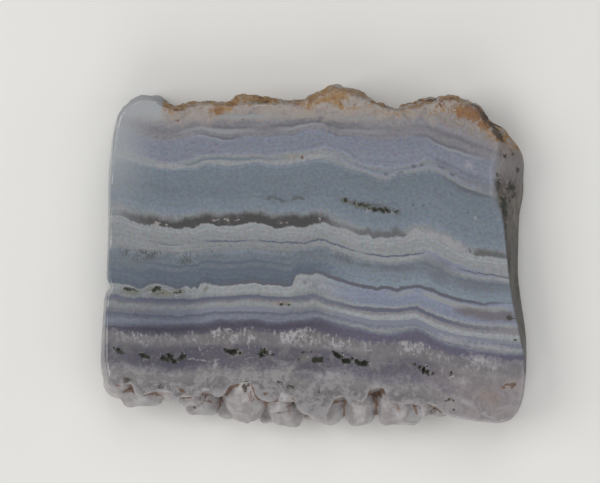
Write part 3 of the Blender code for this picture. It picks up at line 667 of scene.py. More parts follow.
FACE_MARKS = (
    FleckGroup("blotches_and_glints", P.FROST_AND_HIGHLIGHT, 0.55, 0.9, 7.0, flecks(
        (12.4, 2.9, 1.7, 1.0, -10), (14.2, 2.6, 2.2, 0.9, -15), (16.0, 1.9, 2.2, 0.9, -30),
        # (18.4, 10.9) and (19.7, 8.4) are painted glints, white specks of reflected light
        (17.3, 1.4, 1.9, 0.8, -30), (18.4, 10.9, 1.3, 0.9), (19.7, 8.4, 0.5, 0.5),
        (0.0, 12.0, 4.5, 0.5, 3), (-17.0, 10.9, 4.0, 0.5, -3), (16.3, -9.75, 4.5, 0.8, -13),
        (20.6, -10.6, 5.0, 0.8, -8), (20.5, -12.4, 5.0, 1.4, -12),
    ), 4.0),
    FleckGroup("dim_patches", P.SMUDGE, 0.42, 1.0, 7.0, flecks(
        (15.0, -2.4, 2.6, 1.8, -35), (19.8, -3.5, 6.0, 1.5, -6), (10.5, -1.4, 5.0, 0.9, 0),
        (-1.0, -3.0, 0.6, 0.6, 0), (0.1, -3.3, 1.3, 0.9, 25), (19.4, 8.9, 6.5, 1.5, -24),
        (15.6, 11.0, 3.0, 1.0, -24), (15.0, -1.0, 4.0, 1.4, -20),
    )),
    FleckGroup("warm_lens", P.WARM_GREY, 0.85, 0.8, 7.0, flecks(
        (18.6, -6.55, 3.6, 1.1, -8), (20.6, -6.9, 4.0, 1.3, -6), (22.8, -7.05, 3.2, 1.3, -3),
    ), 1.0),
    FleckGroup("streaks", P.SHADOW_GREY, 0.9, 0.6, 7.0, flecks(
        (-5.2, 7.05, 1.3, 0.5, 8), (-3.9, 6.8, 1.7, 0.44, -15), (-2.2, 6.95, 1.1, 0.5, 30),
        (-1.5, 7.0, 1.0, 0.46, -15), (3.7, 6.7, 1.1, 0.8, -10), (4.8, 6.35, 1.5, 0.8, -30),
        (6.2, 5.9, 1.8, 0.85, -8), (7.6, 5.75, 1.7, 0.75, -5), (8.7, 5.55, 1.4, 0.9, -10),
        (9.8, 5.45, 1.0, 0.5, -5), (6.8, 6.0, 6.6, 1.15, -11),
    ), 2.2),
    FleckGroup("vug_floor", P.OLIVE, 0.8, 0.6, 7.0, flecks(
        (4.0, 6.6, 1.3, 0.5, -20), (5.6, 6.1, 1.6, 0.45, -20), (7.2, 5.8, 1.4, 0.4, -5),
        (8.6, 5.5, 1.4, 0.55, -8),
    ), 3.5),
    FleckGroup("grey_dots", P.SMUDGE, 0.8, 0.6, 7.0, flecks(
        (8.6, 9.85, 0.5, 0.4), (11.9, 10.75, 0.65, 0.36, 20), (12.8, 11.0, 0.5, 0.3, 15),
        (15.2, 10.6, 0.8, 0.4, -30), (16.5, 9.8, 0.6, 0.4, -20), (11.8, 6.2, 0.32, 0.3),
        (13.0, 6.15, 0.35, 0.32), (18.3, 5.3, 0.32, 0.3), (5.7, 1.35, 0.3, 0.25),
        (18.6, 0.75, 0.45, 0.5), (10.2, 10.0, 1.2, 0.2, 10),
    ), 3.0),
    FleckGroup("olive_ground", P.OLIVE, 0.7, 0.8, 7.0, flecks(
        (-18.3, -4.15, 3.8, 1.1, -4), (-21.8, -4.1, 3.4, 0.9, -6), (-15.9, -4.15, 1.9, 0.7),
        (-12.8, -3.8, 0.55, 1.0, -20), (-3.4, -5.6, 1.6, 0.4), (-1.2, -12.0, 1.4, 0.6),
        (-8.8, -11.35, 1.0, 0.5),
    )),
    FleckGroup("gold_tint", P.GOLD, 0.22, 1.0, 7.0, flecks(
        (-2.6, 11.8, 1.6, 0.7), (-17.6, -4.35, 1.0, 0.5, 10), (-4.0, -5.4, 2.6, 0.5),
        (20.8, -16.6, 2.2, 1.6, 0), (21.6, -17.0, 1.5, 1.2, 0),
    ), 3.0),
    FleckGroup("rings", P.WHITE_LACE, 0.8, 0.5, 7.0, flecks(
        (-15.0, -4.0, 0.35, 1.0, 20), (-13.3, -3.9, 0.35, 0.9, -15), (-17.3, -3.95, 1.4, 0.2, -25),
        (-19.3, -4.1, 1.4, 0.2, 30), (-12.3, -4.0, 0.4, 0.8, 20),
    )),
    FleckGroup("seam_quartz_and_glint", P.CHALK, 0.85, 0.6, 7.0, flecks(
        (-18.7, 4.0, 1.0, 0.36, 5), (-17.6, 3.75, 0.5, 0.2), (-11.6, 4.35, 0.9, 0.2, 5),
        (-10.3, 4.45, 0.7, 0.22, -8), (-9.1, 4.4, 0.8, 0.2, 5), (-3.9, 4.05, 0.7, 0.26),
        # (-6.8, 7.5) is a painted glint, a white speck of reflected light
        (-3.2, 4.15, 0.35, 0.2), (0.7, 4.45, 0.35, 0.35), (-6.8, 7.5, 0.5, 0.16, 5),
    ), 4.0),
    FleckGroup("wisps", P.FROST_AND_HIGHLIGHT, 0.6, 0.8, 7.0, flecks(
        (-14.1, -10.0, 1.3, 0.22, -50), (-13.5, -10.9, 1.2, 0.18, -60),
        (-13.4, -12.3, 2.6, 0.24, -8), (-7.6, -12.0, 0.9, 0.2, 10), (6.7, -11.1, 1.2, 0.34, 5),
        (15.35, -13.4, 0.24, 1.0), (18.3, -13.0, 0.28, 1.0), (-7.7, -10.3, 0.22, 2.4),
        # (18.3, -14.85) is a painted glint, a white speck of reflected light
        (-11.7, -12.8, 0.4, 1.8, -10), (17.8, -14.8, 1.6, 0.8), (18.3, -14.85, 0.4, 0.3),
        (18.2, -17.3, 2.9, 0.6, -30), (20.6, -18.75, 3.0, 0.45, -30), (-5.3, -11.5, 0.5, 0.7, 30),
        # (19.3, 4.7) and (-0.65, -11.85) are painted glints, white specks of reflected light
        (19.3, 4.7, 0.3, 0.6), (-0.65, -11.85, 0.3, 0.25), (2.0, -14.2, 3.0, 0.9, 10),
    ), 5.0),
    # near-black ragged vug openings: partly their dark filling, partly painted shade of the open
    # hollows
    FleckGroup("vugs", P.MOSS_BLACK, 0.95, 0.35, 7.0, flecks(
        (-23.45, -11.15, 1.0, 0.45, -40), (-20.0, -11.8, 1.2, 0.55, -35),
        (-17.7, -12.0, 1.3, 0.42, -40), (-17.0, -12.1, 1.3, 0.46, 45),
        (-15.75, -11.85, 1.1, 0.46, 55), (-9.9, -11.3, 1.6, 0.6, -8), (-8.8, -11.35, 0.4, 0.3),
        (-6.2, -11.3, 1.2, 0.6, 40), (-5.9, -11.7, 0.9, 0.34, -20), (-4.9, -11.6, 0.9, 0.2, 10),
        (-1.7, -12.1, 0.6, 0.22, -10), (-1.2, -11.3, 0.28, 0.28), (-0.2, -11.3, 0.22, 0.22),
        (0.65, -12.25, 1.2, 0.6, -5), (1.7, -12.1, 0.26, 0.26), (3.1, -11.85, 1.0, 0.6, -35),
        (3.8, -12.35, 1.2, 0.66, -15), (5.75, -12.65, 1.5, 0.48, -8),
        (13.0, -13.4, 1.7, 0.72, -38), (13.7, -13.9, 0.8, 0.42, -60), (14.3, -13.75, 0.24, 0.24),
        (16.2, -14.1, 0.34, 0.5, 20), (15.8, -17.1, 0.5, 0.22, 20), (16.5, -16.9, 0.8, 0.2, -25),
        (16.8, -18.15, 0.24, 0.2), (8.8, -16.6, 0.4, 0.16), (0.7, -15.9, 0.22, 0.8),
        (-22.3, -3.75, 1.3, 0.3, -12), (-21.3, -3.95, 0.8, 0.26, -10),
        (-18.7, -3.75, 0.8, 0.45, 20), (-18.2, -4.35, 0.8, 0.24, 10), (-16.0, -4.2, 0.9, 0.3, 5),
        (-3.9, -5.6, 0.3, 0.2), (-2.9, -5.65, 0.26, 0.2), (23.3, -7.2, 0.6, 0.5),
        (23.8, -7.35, 0.7, 0.16), (24.0, -9.8, 0.5, 0.26), (8.6, 5.5, 0.6, 0.3),
    ), 4.5),
    FleckGroup("rust_dots", P.RUST, 0.85, 0.5, 7.0, flecks(
        (-1.35, 11.85, 0.45, 0.4), (-16.1, 16.25, 0.4, 0.26), (-8.4, 16.4, 0.4, 0.3),
        (23.2, -15.2, 1.6, 0.3, 15), (22.7, -15.6, 0.9, 0.26, -30), (23.7, -15.5, 0.6, 0.24, 40),
    )),
)

EDGE_MARKS = (
    FleckGroup("west_gold", P.GOLD, 0.9, 0.5, 1.0, flecks(
        (-8.1, 18.9, 3.8, 1.7), (-9.6, 17.8, 3.6, 1.8), (2.2, 19.3, 6.8, 2.3, 6),
        (-17.4, 17.7, 0.9, 0.5, -30), (12.0, 18.0, 2.5, 0.6, 20), (20.5, 15.0, 3.0, 1.2, -45),
    ), 4.0),
    FleckGroup("orange_patches", P.ORANGE, 0.85, 0.5, 1.0, flecks(
        (-11.4, 17.4, 2.2, 1.4, -30), (-10.9, 16.6, 0.6, 0.8), (-0.4, 18.7, 0.9, 1.0),
        (1.0, 19.3, 0.5, 0.5), (2.4, 18.9, 0.6, 0.7, 30), (13.2, 18.6, 2.3, 0.5, 15),
        (17.6, 17.0, 1.6, 2.0, -30), (19.0, 16.9, 2.8, 2.4, -30), (20.2, 15.8, 2.0, 1.4, -40),
        (-6.0, 18.7, 2.2, 0.7, 0), (-2.0, 18.1, 1.4, 0.8, 0), (7.3, 18.5, 2.6, 0.5, -15),
        (16.6, 17.6, 1.8, 1.4, 0), (-10.0, 18.2, 1.6, 0.6, -20),
    ), 3.0),
    FleckGroup("rust_patches", P.RUST, 0.85, 0.6, 1.0, flecks(
        (19.9, 17.2, 2.4, 1.1, -35), (20.7, 16.2, 2.0, 0.9, -50), (18.4, 17.9, 2.0, 0.6, -15),
        (-9.0, 17.4, 1.2, 0.5, -10), (-16.0, 17.5, 1.6, 0.5, 0), (10.6, 18.4, 1.6, 0.4, 0),
    ), 3.0),
    FleckGroup("olive_patches", P.OLIVE, 0.7, 0.7, 1.0, flecks(
        (18.6, 15.6, 2.6, 0.8, -30), (20.4, 14.6, 1.8, 0.7, -40), (-7.0, 18.4, 1.6, 0.6),
    ), 3.0),
    FleckGroup("umber_patches", P.UMBER, 0.9, 0.5, 1.0, flecks(
        (20.6, 17.0, 1.4, 2.0, 25), (22.0, 14.6, 2.8, 0.9, -45), (19.5, 17.9, 1.4, 0.6, -30),
        (21.3, 15.6, 2.4, 0.7, -50), (-5.85, 18.4, 0.6, 0.4), (13.9, 18.8, 1.2, 0.5),
    ), 3.0),
    FleckGroup("chalk_patches", P.CHALK, 0.9, 0.4, 1.0, flecks(
        (-13.6, 17.7, 2.0, 0.8), (-4.1, 18.1, 2.6, 0.9), (3.7, 18.5, 1.4, 0.7),
        (6.2, 18.8, 1.7, 0.9, -25), (8.2, 17.6, 2.6, 0.8, -10), (15.0, 17.6, 1.5, 1.0, 20),
        (16.0, 18.0, 1.6, 1.3, -20), (14.6, 18.3, 1.1, 0.8), (0.9, 18.0, 2.4, 0.7, 10),
        (4.4, 18.8, 1.2, 0.9), (5.6, 18.2, 1.4, 0.9), (-12.6, 17.9, 1.6, 0.8),
        (-3.2, 18.4, 2.4, 0.9), (9.4, 17.7, 1.6, 0.7), (10.9, 17.8, 1.2, 0.6),
        (12.0, 17.4, 0.9, 0.8),
    ), 4.0),
)

STAIN_MARKS = (
    FleckGroup("rust_films", P.RUST, 0.8, 0.8, 1.0, flecks(
        (-23.4, -15.4, 1.0, 0.6), (-19.0, -16.3, 2.6, 0.35), (-10.2, -16.2, 0.4, 1.6, -20),
        (-7.5, -16.6, 0.6, 1.4, 10), (-5.8, -17.6, 0.6, 0.8), (-5.8, -16.3, 0.6, 0.35),
        (-3.0, -17.9, 0.5, 1.1, -10), (1.75, -16.2, 0.3, 0.4), (8.0, -16.4, 0.45, 1.1, 10),
        (7.6, -17.5, 0.6, 0.7), (10.1, -18.0, 0.4, 1.0), (14.9, -18.3, 1.0, 0.5, -35),
        (-15.6, -15.9, 1.4, 0.3, -35), (-12.6, -17.3, 1.8, 0.35, -15), (12.0, -17.6, 0.3, 0.7),
        (5.6, -17.4, 0.9, 0.4, -30),
    ), 5.0),
    FleckGroup("dark_pockets", P.UMBER, 0.9, 0.6, 1.0, flecks(
        (-22.2, -14.9, 1.0, 0.9, 30), (-8.1, -15.3, 0.9, 1.3), (-13.6, -16.9, 0.3, 0.3),
        (14.0, -18.7, 0.5, 0.35), (3.5, -16.9, 0.6, 0.45), (12.7, -18.0, 0.35, 0.5),
        (-4.1, -14.9, 0.9, 0.5, -30), (-18.3, -15.5, 0.5, 0.5), (-2.6, -15.5, 1.2, 0.35, -10),
        (-14.3, -18.0, 0.3, 0.4), (7.9, -16.2, 0.3, 0.9),
    ), 5.0),
)

SIDE_MARKS = (
    FleckGroup("dark_grime", P.UMBER, 0.55, 1.0, 0.5, flecks(
        (22.2, 7.4, 1.4, 4.6, -8), (22.7, 4.2, 1.0, 4.0), (23.6, 8.0, 1.2, 2.4),
        (23.1, -1.0, 0.7, 6.5), (21.9, 12.6, 1.8, 1.0, -45),
    ), 3.0),
    FleckGroup("black_specks", P.MOSS_BLACK, 0.95, 0.4, 0.5, flecks(
        (21.9, 8.6, 0.8, 1.9), (21.9, 9.9, 0.4, 0.6), (23.6, 8.4, 1.3, 1.1), (22.7, 6.5, 1.1, 1.9),
        (22.9, 5.3, 1.0, 1.7), (24.4, 10.4, 0.5, 0.9), (23.7, 12.4, 0.4, 0.8),
        (22.8, 12.1, 0.4, 0.6), (24.0, 7.5, 0.5, 0.8), (22.8, 3.6, 0.35, 1.6),
        (22.9, 2.0, 0.3, 2.0), (23.4, -0.5, 0.35, 3.0),
    ), 3.2),
    FleckGroup("brown_streaks", P.UMBER, 0.85, 0.6, 0.5, flecks(
        (25.0, -8.4, 0.3, 1.9, 20), (24.7, -10.2, 0.3, 1.7, 20), (25.1, -13.8, 0.3, 1.4, -10),
        (24.4, -3.5, 0.4, 4.0, 5),
    ), 3.0),
)

SEAM_THICKNESS = (
    (-24.4, 0.4), (-23, 0.6), (-22, 0.9), (-20, 1.0), (-17, 1.05), (-15, 1.2), (-13, 1.25),
    (-11, 1.35), (-7, 1.35), (-5.5, 1.2), (-4, 1.35), (-2, 1.35), (0, 1.2), (1, 1.0), (2.5, 0.6),
    (3.5, 0.45), (5, 0.55), (7, 0.85), (9, 0.85), (10.6, 0.7), (11.6, -0.6), (18.6, -0.6),
    (19.4, 0.7), (21, 0.75), (22, 0.7), (23.5, 0.5),
)
SEAM_SHARE = (
    (-24.4, 0.25), (-22, 0.7), (-20, 0.9), (-12, 1.0), (0, 1.0), (1.5, 0.85), (3, 0.45), (5, 0.5),
    (7, 0.62), (11, 0.66), (19, 0.7), (23, 0.7),
)
SPECKLE_SHARE = (
    (-23.6, 0.0), (-22.8, 0.7), (-17.5, 0.8), (-16.9, 0.35), (-16.2, 0.8), (-14.0, 0.75),
    (-13.2, 0.2), (-12.2, 0.5), (-11.0, 0.15), (-5.0, 0.1), (-4.0, 0.35), (1.0, 0.3), (2.0, 0.5),
    (7.5, 0.4), (9.0, 0.15), (14.0, 0.0),
)
COMB_SHARE = (
    (-24.5, 0.7), (-21, 0.8), (-18.5, 0.5), (-15, 0.35), (-13.6, 0.55), (-12.4, 0.85), (-7.6, 1.0),
    (-6.6, 0.5), (-5.2, 0.45), (-4.3, 0.95), (1.0, 0.95), (4.0, 0.85), (5.2, 0.4), (6.5, 0.5),
    (8.5, 0.5), (9.6, 0.55), (11.0, 0.9), (13.8, 0.75), (15.0, 0.5), (17.5, 0.7), (20.5, 0.8),
    (24.0, 0.1),
)
CRUST_LINE = (
    (-24.5, 21.5), (-18.6, 21.5), (-17.8, 17.6), (-13.4, 17.3), (-12.4, 16.9), (-10.2, 17.0),
    (-9.3, 18.0), (-5.3, 18.0), (-3, 17.7), (-1.2, 17.8), (0, 17.6), (5, 17.7), (6.5, 18.0),
    (8, 17.3), (10, 17.1), (12, 17.5), (13, 17.9), (14, 17.0), (16.4, 16.9), (17.2, 16.4),
    (18.4, 16.0), (20, 15.2), (21.5, 14.1), (23, 13.2), (26, 12.2),
)


# ----------------------------------------------------------------------------
# The stone's material
# ----------------------------------------------------------------------------


@dataclass(frozen=True)
class Spot:
    """A spot of the stone, as the layers of its material read it."""

    sheet: Sheet
    x: Signal  # place along the bands
    y: Signal  # place across them
    z: Signal  # height above the back face
    depth: Signal  # depth in the vein, counted from the crust
    ragged: Signal  # the spot with a small shake, so that marks get ragged outlines
    tear: Signal  # the noise that tears those outlines
    on_face: Signal  # 1 on the polished face
    points: Signal  # 1 on the skin of the quartz points
    hollow: Signal  # how far the spot lies below its surroundings


@dataclass(frozen=True)
class StoneFinish:
    """The whole slice's material, from crust to quartz points."""

    polish: float = 0.22  # the first four are roughnesses
    ground: float = 0.40
    frosted: float = 0.30
    weathered: float = 0.72
    warp: float = 0.55  # how far the bands waver
    fray: float = 0.34  # how far their edges are frayed
    shake: float = 0.75  # how ragged the marks are
    lamina_contrast: float = 0.42
    mottling: float = 0.85
    chroma: float = 0.5
    drift: float = 0.10  # how far the bands lean with depth below the polished face
    seam_foot: float = 14.05  # depths in the vein
    comb_top: float = 26.6
    dull: tuple[float, ...] = (0.74, 0.75, 0.79, 1.0)  # what the dusk leaves of the light
    constants: tuple[tuple[str, Any], ...] = (
        ("Coat Roughness", 0.07), ("IOR", 1.54), ("Subsurface Weight", 0.08),
        ("Subsurface Radius", (1.0, 0.9, 0.85)), ("Subsurface Scale", 0.6 * MM),
    )

    def make(self) -> bpy.types.Material:
        """Draws the material, layer on layer.

        Returns:
            The finished material.
        """
        at = self._spot(Sheet("banded_chalcedony"))
        colour = self._strata(at)
        for lay in (self._rind, self._laminae, self._lines, self._speckles, self._seam):
            colour = lay(at, colour)
        colour, comb = self._druse(at, colour)
        colour = self._marks(at, self._dusk(at, colour), FACE_MARKS)
        colour, pit = self._pits(at, colour)
        colour, crust = self._crust(at, self._rims(at, colour))
        colour = self._stains(at, colour, crust)
        at.sheet.plug(at.sheet.shader.inputs["Base Color"], colour)
        self._surface(at, crust, comb, pit)
        return at.sheet.material

    def _spot(self, sheet: Sheet) -> Spot:
        """Works out what the layers read.

        Args:
            sheet: the material's sheet.

        Returns:
            The spot.
        """
        split = sheet.node("ShaderNodeSeparateXYZ", None, {0: sheet.coordinates})
        x, y, z = (Signal(sheet, socket) / MM for socket in split.socket.node.outputs)
        below = FACE_HEIGHT - z
        wander = sheet.grain(0.09, 1.0)
        waver = sheet.grain(0.5, 4.0, 0.6)
        frayed = sheet.grain((2.6, 1.9, 2.2), 3.0, 0.7)
        warped = y + below * self.drift + (wander - 0.5) * below * 0.35
        warped = warped + (waver - 0.5) * self.warp + (frayed - 0.5) * self.fray
        shakes = [sheet.grain(1.9, 3.0, 0.6, shift) - 0.5 for shift in (0.0, 31.0)]
        on_face = z.rise(7.80, 7.96)
        return Spot(
            sheet=sheet, x=x, y=y, z=z,
            depth=self._depth(sheet, x, warped),
            ragged=sheet.point(x + shakes[0] * self.shake, y + shakes[1] * self.shake, 0.0),
            tear=sheet.grain(2.3, 4.0, 0.7, 5.0),
            on_face=on_face,
            points=y.rise(-13.6, -15.2) * (1.0 - on_face),
            hollow=sheet.node("ShaderNodeAttribute", {"attribute_name": "hollow"}, output="Fac"),
        )

    @staticmethod
    def _depth(sheet: Sheet, x: Signal, y: Signal) -> Signal:
        """How deep a spot lies in the vein, straight between neighbouring horizons.

        Args:
            sheet: the material's sheet.
            x: place along the bands.
            y: place across them.

        Returns:
            The depth in millimetres below the crust.
        """
        upper = sheet.curve(x, HORIZONS[0].trace)
        depth = HORIZONS[0].depth - (y - upper).highest(0.0)
        for above, below in zip(HORIZONS, HORIZONS[1:]):
            lower = sheet.curve(x, below.trace)
            lower.socket.node.label = below.name
            share = (upper - y) / (upper - lower)
            share.socket.node.use_clamp = True
            depth = depth + share * (below.depth - above.depth)
            upper = lower
        return depth + (upper - y).highest(0.0)

    @staticmethod
    def _strata(at: Spot) -> Signal:
        """The bands' own colours.

        Args:
            at: the spot.

        Returns:
            The colour.
        """
        sheet, east, edge = at.sheet, at.x.rise(-1.5, 6.5), 0.05
        colour = None
        for suite in SUITES:
            top, foot = suite.strata[0].depth, suite.strata[-1].depth
            share = (at.depth - top) / (foot - top)
            sides = [
                sheet.node("ShaderNodeValToRGB", {"stops": suite.stops(side)}, {"Fac": share})
                for side in (False, True)
            ]
            mixed = sheet.mix(sides[0], sides[1], east)
            if colour is None:
                colour = mixed
            else:
                colour = sheet.mix(colour, mixed, at.depth.rise(top - edge, top + edge))
        return colour

    @staticmethod
    def _rind(at: Spot, colour: Signal) -> Signal:
        """The clouded first layers under the crust.

        Args:
            at: the spot.
            colour: what lies under them.

        Returns:
            The colour with them.
        """
        sheet, outer = at.sheet, at.depth.rise(1.9, 0.5)
        clouds = sheet.grain((0.45, 0.6, 0.5), 4.0, 0.68, 3.0, 0.6)
        white = sheet.mix(P.CHALK.linear(0.98), P.LILAC_GREY.linear(1.12), at.x.rise(6.0, 13.0))
        colour = sheet.mix(colour, white, clouds.rise(0.47, 0.62) * outer * 0.8)
        grey = clouds.rise(0.46, 0.34) * outer * 0.8
        colour = sheet.mix(colour, P.LILAC_GREY.linear(0.98), grey)
        honey = sheet.grain(0.8, 3.0, 0.65, 9.0, 0.8).rise(0.55, 0.68)
        return sheet.mix(colour, P.GOLD.linear(0.95), honey * at.depth.rise(0.7, -0.3) * 0.6)

    def _laminae(self, at: Spot, colour: Signal) -> Signal:
        """Hair-fine growth layers and the stone's fine mottling.

        Args:
            at: the spot.
            colour: what lies under them.

        Returns:
            The colour with them.
        """
        sheet = at.sheet
        swell = sheet.grain((0.12, 0.05, 0.05), 1.0)
        layered = sheet.layers(at.depth * 2.4 + swell * 2.0, 3.0, 0.65)
        broad = sheet.layers(at.depth * 0.7 + swell * 3.0 + 40.0, 2.0)
        calm = at.depth.band(10.5, 2.2, 1.5)
        mottle = sheet.grain(2.4, 4.0, 0.75)
        swing = (layered - 0.5) * self.lamina_contrast * (1.0 - calm * 0.6)
        swing = swing + (broad - 0.5) * 0.22 + (mottle - 0.5) * self.mottling
        speckle = [sheet.grain(2.9, 2.0, 0.7, shift) - 0.5 for shift in (2.0, 4.0, 6.0)]
        gains = [1.0 + swing + part * self.chroma for part in speckle]
        tint = sheet.node("ShaderNodeCombineColor", None, dict(enumerate(gains)))
        return sheet.mix(colour, tint, 1.0, "MULTIPLY")

    @staticmethod
    def _lines(at: Spot, colour: Signal) -> Signal:
        """The thin lines that keep to one depth.

        Args:
            at: the spot.
            colour: what lies under them.

        Returns:
            The colour with them.
        """
        for line in LACE_LINES:
            mask = at.depth.band(line.depth, line.half_width, line.softness)
            share = at.sheet.curve(at.x, line.share())
            colour = at.sheet.mix(colour, line.pigment.linear(), mask * share)
        return colour

    @staticmethod
    def _speckles(at: Spot, colour: Signal) -> Signal:
        """The peppering below the hairline.

        Args:
            at: the spot.
            colour: what lies under it.

        Returns:
            The colour with it.
        """
        sheet = at.sheet
        pepper = sheet.grain((4.2, 3.0, 3.0), 3.0, 0.7) + sheet.grain(0.9, 2.0) * 0.6
        mask = pepper.rise(0.76, 0.90) * at.depth.band(17.55, 0.35, 0.55)
        share = sheet.curve(at.x, SPECKLE_SHARE)
        return sheet.mix(colour, P.SHADOW_GREY.linear(0.95), mask * share)

    def _seam(self, at: Spot, colour: Signal) -> Signal:
        """The dark grey seam with its crystalline filling.

        Args:
            at: the spot.
            colour: what lies under it.

        Returns:
            The colour with it.
        """
        sheet = at.sheet
        fuzz = sheet.grain((2.2, 0.9, 1.2), 4.0, 0.7)
        lumps = sheet.grain(0.8, 3.0, 0.6, 13.0)
        thick = sheet.curve(at.x, SEAM_THICKNESS) + (lumps - 0.5) * 0.9
        above_foot = self.seam_foot - at.depth + (fuzz - 0.5) * 0.55
        mask = above_foot.rise(thick + 0.5, thick - 0.5) * above_foot.rise(-0.16, 0.12)
        grey = (fuzz + lumps).rise(1.03, 1.32)
        filling = sheet.mix(P.SEAM.linear(0.90), P.WARM_GREY.linear(0.92), grey)
        return sheet.mix(colour, filling, mask * sheet.curve(at.x, SEAM_SHARE))

    def _druse(self, at: Spot, colour: Signal) -> tuple[Signal, Signal]:
        """The frosty comb, the veils under it and the milky roots of the points.

        Args:
            at: the spot.
            colour: what lies under them.

        Returns:
            The colour with them, and the comb's mask.
        """
        sheet = at.sheet
        bristles = sheet.grain((2.5, 1.5, 1.4), 5.0, 0.78)
        clumps = sheet.grain((0.5, 0.6, 0.5), 3.0, 0.6, 7.0)
        cloud = sheet.grain((0.40, 0.50, 0.45), 5.0, 0.68, 0.0, 0.9)
        curds = sheet.grain(1.3, 5.0, 0.7, 17.0, 0.5)
        into = at.depth - self.comb_top
        share = sheet.curve(at.x, COMB_SHARE)

        veil = (cloud - 0.5 + (3.2 - into) * 0.04).rise(-0.04, 0.16) * into.rise(0.2, 1.2)
        colour = sheet.mix(colour, P.MILK.linear(0.90), veil * 0.62)
        murk = (0.5 - cloud + (0.5 - curds) * 0.9).rise(-0.04, 0.18) * into.rise(0.8, 1.8)
        colour = sheet.mix(colour, P.VIOLET.linear(1.14), murk * into.rise(6.8, 5.0) * 0.55)
        foot = (cloud - 0.5) * 6.0 + (curds - 0.5) * 3.0 + (into - 6.0)
        thick = (curds + cloud - 0.5).rise(0.34, 0.64)
        curdled = sheet.mix(P.MILK.linear(0.76), P.MILK.linear(1.04), thick)
        colour = sheet.mix(colour, curdled, foot.rise(-1.5, 1.5) * into.rise(2.8, 4.4))
        flush = (cloud + curds * 0.4).rise(0.56, 0.84)
        rosy = sheet.mix(P.PINK_GREY.linear(0.91), P.PINK_GREY.linear(1.05), flush)
        colour = sheet.mix(colour, rosy, at.x.rise(11.5, 19.0) * into.rise(0.8, 2.6) * 0.85)

        edge = into + (bristles - 0.5) * 2.4 + (clumps - 0.5) * 1.8
        body = edge.rise(-0.1, 0.5) * edge.rise(3.0, 1.7)
        pale = (bristles + clumps * 0.6).rise(0.70, 0.92)
        tone = sheet.mix(P.MILK.linear(0.80), P.MILK.linear(0.96), pale)
        colour = sheet.mix(colour, tone, body * (0.45 + share * 0.4))
        crowd = share * 0.14 - 0.09 - into * 0.03 + (clumps - 0.5) * 0.7
        comb = (bristles - 0.5 + crowd).rise(0.0, 0.10) * body
        comb = comb * curds.rise(0.42, 0.56, 0.2, 1.0) * (0.2 + share * 0.75)
        colour = sheet.mix(colour, P.FROST_AND_HIGHLIGHT.linear(1.02), comb)

        hairs = sheet.grain(0.9, 3.0, 0.55, 29.0, 2.2)
        hair = abs(hairs - 0.5).rise(0.014, 0.004) * clumps.rise(0.42, 0.58) * into.rise(1.8, 2.8)
        hair = hair * into.rise(6.5, 5.0) * 0.45
        return sheet.mix(colour, P.FROST_AND_HIGHLIGHT.linear(0.97), hair), comb

    def _dusk(self, at: Spot, colour: Signal) -> Signal:
        """The duller lower bands in the west.

        Args:
            at: the spot.
            colour: what lies under it.

        Returns:
            The colour with it.
        """
        along = at.x.rise(-12.0, -15.5) * at.x.rise(-24.5, -19.0, 0.5, 1.0)
        lower = at.depth.rise(21.0, 21.4) * at.depth.rise(26.6, 26.1)
        murky = at.depth.rise(28.0, 28.8) * at.depth.rise(33.0, 31.0)
        return at.sheet.mix(colour, self.dull, along * (lower + murky), "MULTIPLY")

    @staticmethod
    def _marks(
        at: Spot, colour: Signal, groups: Sequence[FleckGroup], place: Signal | None = None
    ) -> Signal:
        """Lays groups of marks on the colour.

        Args:
            at: the spot.
            colour: what lies under them.
            groups: the marks, in the order they are laid.
            place: where the spot counts as being, if that isn't its ragged place.

        Returns:
            The colour with them.
        """
        sheet, place = at.sheet, place or at.ragged
        for group in groups:
            mask = None
            turn, turned = None, place
            for fleck in sorted(group.flecks, key=lambda one: one.turn):
                angle = math.radians(fleck.turn)
                along = Vector((math.cos(angle), math.sin(angle), 0.0))
                across = Vector((-along.y, along.x, 0.0))
                if fleck.turn != turn:
                    turn = fleck.turn
                    axes = [
                        sheet.vector("DOT_PRODUCT", place, axis, output="Value")
                        for axis in (along, across)
                    ]
                    turned = sheet.point(*axes, 0.0) if turn else place
                spot = Vector((fleck.x, fleck.y, 0.0))
                squeeze = Vector((2.0 / fleck.length, 2.0 / fleck.width, 0.0))
                middle = (along.dot(spot) * squeeze.x, across.dot(spot) * squeeze.y, 0.0)
                scaled = sheet.vector("MULTIPLY", turned, squeeze)
                away = sheet.vector("DISTANCE", scaled, middle, output="Value")
                mask = away if mask is None else mask.lowest(away)
            mask = mask + (at.tear - 0.45) * group.torn
            seen = mask.rise(1.0 + 0.7 * group.softness, 1.0 - 0.6 * group.softness - 0.1)
            seen = seen * at.z.rise(group.above - 0.6, group.above + 0.4, 0.0, group.share)
            colour = sheet.mix(colour, group.pigment.linear(), seen)
            colour.socket.node.label = group.name
        return colour

    @staticmethod
    def _pits(at: Spot, colour: Signal) -> tuple[Signal, Signal]:
        """The dark grey-green ground of the open vugs, turning near black deeper down as painted
        shade.

        Args:
            at: the spot.
            colour: what lies under it.

        Returns:
            The colour with it, and the pits' mask.
        """
        inside = at.x.rise(-24.0, -23.8) * at.x.rise(20.9, 20.7)
        inside = inside * at.y.rise(-14.2, -14.0) * at.y.rise(15.4, 15.2)
        pit = inside * at.z.rise(7.999, 7.96) * at.z.rise(6.6, 7.0)
        colour = at.sheet.mix(colour, P.OLIVE.linear(0.62), pit * 0.85)
        # painted shade: near black deeper in the pits
        deep = pit * at.z.rise(7.86, 7.64) * 0.9
        return at.sheet.mix(colour, P.MOSS_BLACK.linear(1.3), deep), pit

